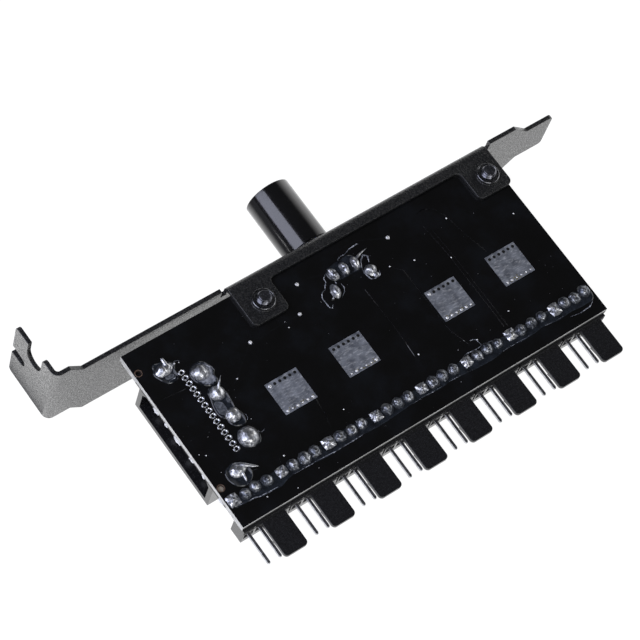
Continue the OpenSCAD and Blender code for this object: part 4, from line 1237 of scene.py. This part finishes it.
softened("bracket", 0.2, powder_coat, segments=3)
for node, width, material, slot in (
    ("power_connector_shroud", 0.12, black_polyester, "black_nylon"),
    ("control_frame", 0.05, tinned_steel, "tinned_steel"),
    ("control_cup", 0.15, black_polyester, "black_nylon"),
    ("control_bushing", 0.1, die_casting, "zinc_casting"),
    ("control_chip", 0.12, moulded_epoxy, "moulded_epoxy"),
    *(("power_transistor_%d" % i, 0.12, moulded_epoxy, "moulded_epoxy") for i in range(1, 5)),
    ("chip_resistors", 0.05, resistor_glaze, "chip_black"),
    ("chip_capacitors", 0.08, capacitor_ceramic, "chip_tan"),
):
    softened(node, width, material)

for node, material in (
    *(("transistor_leads_%d" % i, tinned_steel) for i in range(1, 5)),
    ("circuit_board", solder_mask), ("thermal_pads", levelled_tin), ("power_connector_pins", tinned_wire),
    ("power_connector_locks", tinned_steel), ("control_wafer", phenolic), ("control_track", carbon_film),
    ("control_terminals", tinned_steel), ("control_shaft", die_casting), ("control_rotor", acetal),
    ("control_wiper", spring_bronze), ("knob_sleeve", acetal), ("control_chip_leads", tinned_steel),
):
    dress(node, material)


# --- stage, light and camera ---


def rays(tree):
    """One for the camera's rays, and one for those that mirror finishes and glass send out."""
    path = add(tree, "LightPath").outputs
    return path["Is Camera Ray"], compute(tree, "MAXIMUM", path["Is Glossy Ray"], path["Is Transmission Ray"])


def stage():
    """A wide pale floor under the bracket's lower edge, seen white and still holding a soft shadow.
    Mirror finishes see a glow painted on it: bright near the object, and dark in one strip beside the knob."""
    material, tree, shader, place = blank("paper_floor")
    coat(shader, Base_Color=srgb("#f1f1f2"), Roughness=0.9)
    camera_ray, mirror = rays(tree)
    share = compute(tree, "MULTIPLY", compute(tree, "MAXIMUM", mirror, camera_ray), 0.85)
    spot = axes(tree, place)
    near_knob = span(tree, spot["X"], 34 * MM, 51 * MM, interpolation_type="SMOOTHSTEP")
    far_left = compute(tree, "LESS_THAN", spot["X"], -3 * MM)
    by_tab = compute(tree, "LESS_THAN", spot["Y"], 20 * MM)
    inside = compute(tree, "LESS_THAN", spot["Y"], -4 * MM)
    lit = compute(tree, "MAXIMUM", near_knob, compute(tree, "MULTIPLY", far_left, by_tab))
    lit = compute(tree, "MAXIMUM", lit, inside)
    # The painted glow is brightest on the left, where the lamps stand.
    near_lamp = span(tree, spot["X"], 6 * MM, -3 * MM, 1.5, 2.6)
    level = mixed(tree, lit, 0.12, near_lamp, "FLOAT")
    glow = add(tree, "Emission", {"Color": (1, 1, 1, 1), "Strength": mixed(tree, mirror, 1.14, level, "FLOAT")})
    mix = add(tree, "MixShader", {"Fac": share, 1: shader.outputs["BSDF"], 2: glow.outputs["Emission"]})
    output = next(node for node in tree.nodes if node.type == "OUTPUT_MATERIAL")
    fill(output, {"Surface": mix.outputs["Shader"]})
    floor = start(bpy.ops.mesh.primitive_plane_add, "floor", (0, 0, FLOOR_Z - 0.05 * MM), size=6)
    floor.data.materials.append(material)


def studio():
    """White to the eye. Mirror finishes see a dark room that grows pale low on the right."""
    world = bpy.data.worlds.new("studio")
    bpy.context.scene.world = world
    world.use_nodes = True
    tree = world.node_tree
    tree.nodes.clear()
    way = add(tree, "TexCoord").outputs["Generated"]
    slope = add(tree, "VectorMath", {0: way, 1: (0.8, 0.0, -0.6)}, operation="DOT_PRODUCT").outputs["Value"]
    room = span(tree, slope, 0.2, 0.85, 0.05, 1.8)
    camera_ray, mirror = rays(tree)
    view = mixed(tree, camera_ray, mixed(tree, mirror, 0.16, room, "FLOAT"), 1.0, "FLOAT")
    back = add(tree, "Background", {"Color": (1, 1, 1, 1), "Strength": view})
    add(tree, "OutputWorld", {"Surface": back.outputs["Background"]})


def lamp(name, place, aim, size, radiance, colour="#ffffff", along=(0, 0, 1)):
    """A soft rectangular lamp at a place, aimed at another, its second side along a direction, in metres."""
    data = bpy.data.lights.new(name, "AREA")
    data.shape = "RECTANGLE"
    data.size, data.size_y = size
    data.energy = radiance * math.pi * size[0] * size[1]
    data.color = srgb(colour)[:3]
    made = bpy.data.objects.new(name, data)
    bpy.context.scene.collection.objects.link(made)
    back = (Vector(place) - Vector(aim)).normalized()
    side = (Vector(along) - back * back.dot(Vector(along))).normalized()
    turn = Matrix((side.cross(back), side, back)).transposed()
    made.matrix_world = Matrix.Translation(place) @ turn.to_4x4()


def camera():
    """The photograph's camera, solved on the board's pitches: a 145 mm lens 0.47 m away."""
    data = bpy.data.cameras.new("camera")
    data.sensor_width = 36.0
    data.lens = 144.9
    data.shift_x = -0.00695
    data.shift_y = -0.01479
    data.clip_start = 0.02
    made = bpy.data.objects.new("camera", data)
    bpy.context.scene.collection.objects.link(made)
    right = Vector((0.79572, -0.57708, 0.18389))
    down = Vector((-0.4526, -0.76831, -0.45261))
    ahead = Vector((0.40248, 0.27692, -0.87254))
    turn = Matrix((right, -down, -ahead)).transposed()
    made.matrix_world = Matrix.Translation(Vector((-142.94, -152.96, 421.6)) * MM) @ turn.to_4x4()
    bpy.context.scene.camera = made


stage()
studio()
# The left softbox stands along the knob, so its mirror image there is a straight stripe.
lamp("left_softbox", (-0.318, 0.1, 0.319), (0.06, 0.1, -0.008), (0.47, 0.54), 3.2, "#e6eaff", (0, 1, 0))
lamp("high_softbox", (-0.2, -0.45, 0.34), (0.06, -0.03, 0.0), (0.3, 0.3), 1.6)
lamp("front_softbox", (0.0, -0.55, 0.3), (0.06, -0.03, 0.0), (0.4, 0.2), 3.5, along=(1, 0, 0))
lamp("right_fill", (0.68, -0.26, 0.34), (0.06, -0.03, 0.0), (0.3, 0.3), 1.5)
camera()
bpy.context.scene.view_settings.view_transform = "Standard"

left_plain = sorted(set(nodes) - dressed)
if left_plain:
    raise ValueError("nodes without a finish: %s" % left_plain)
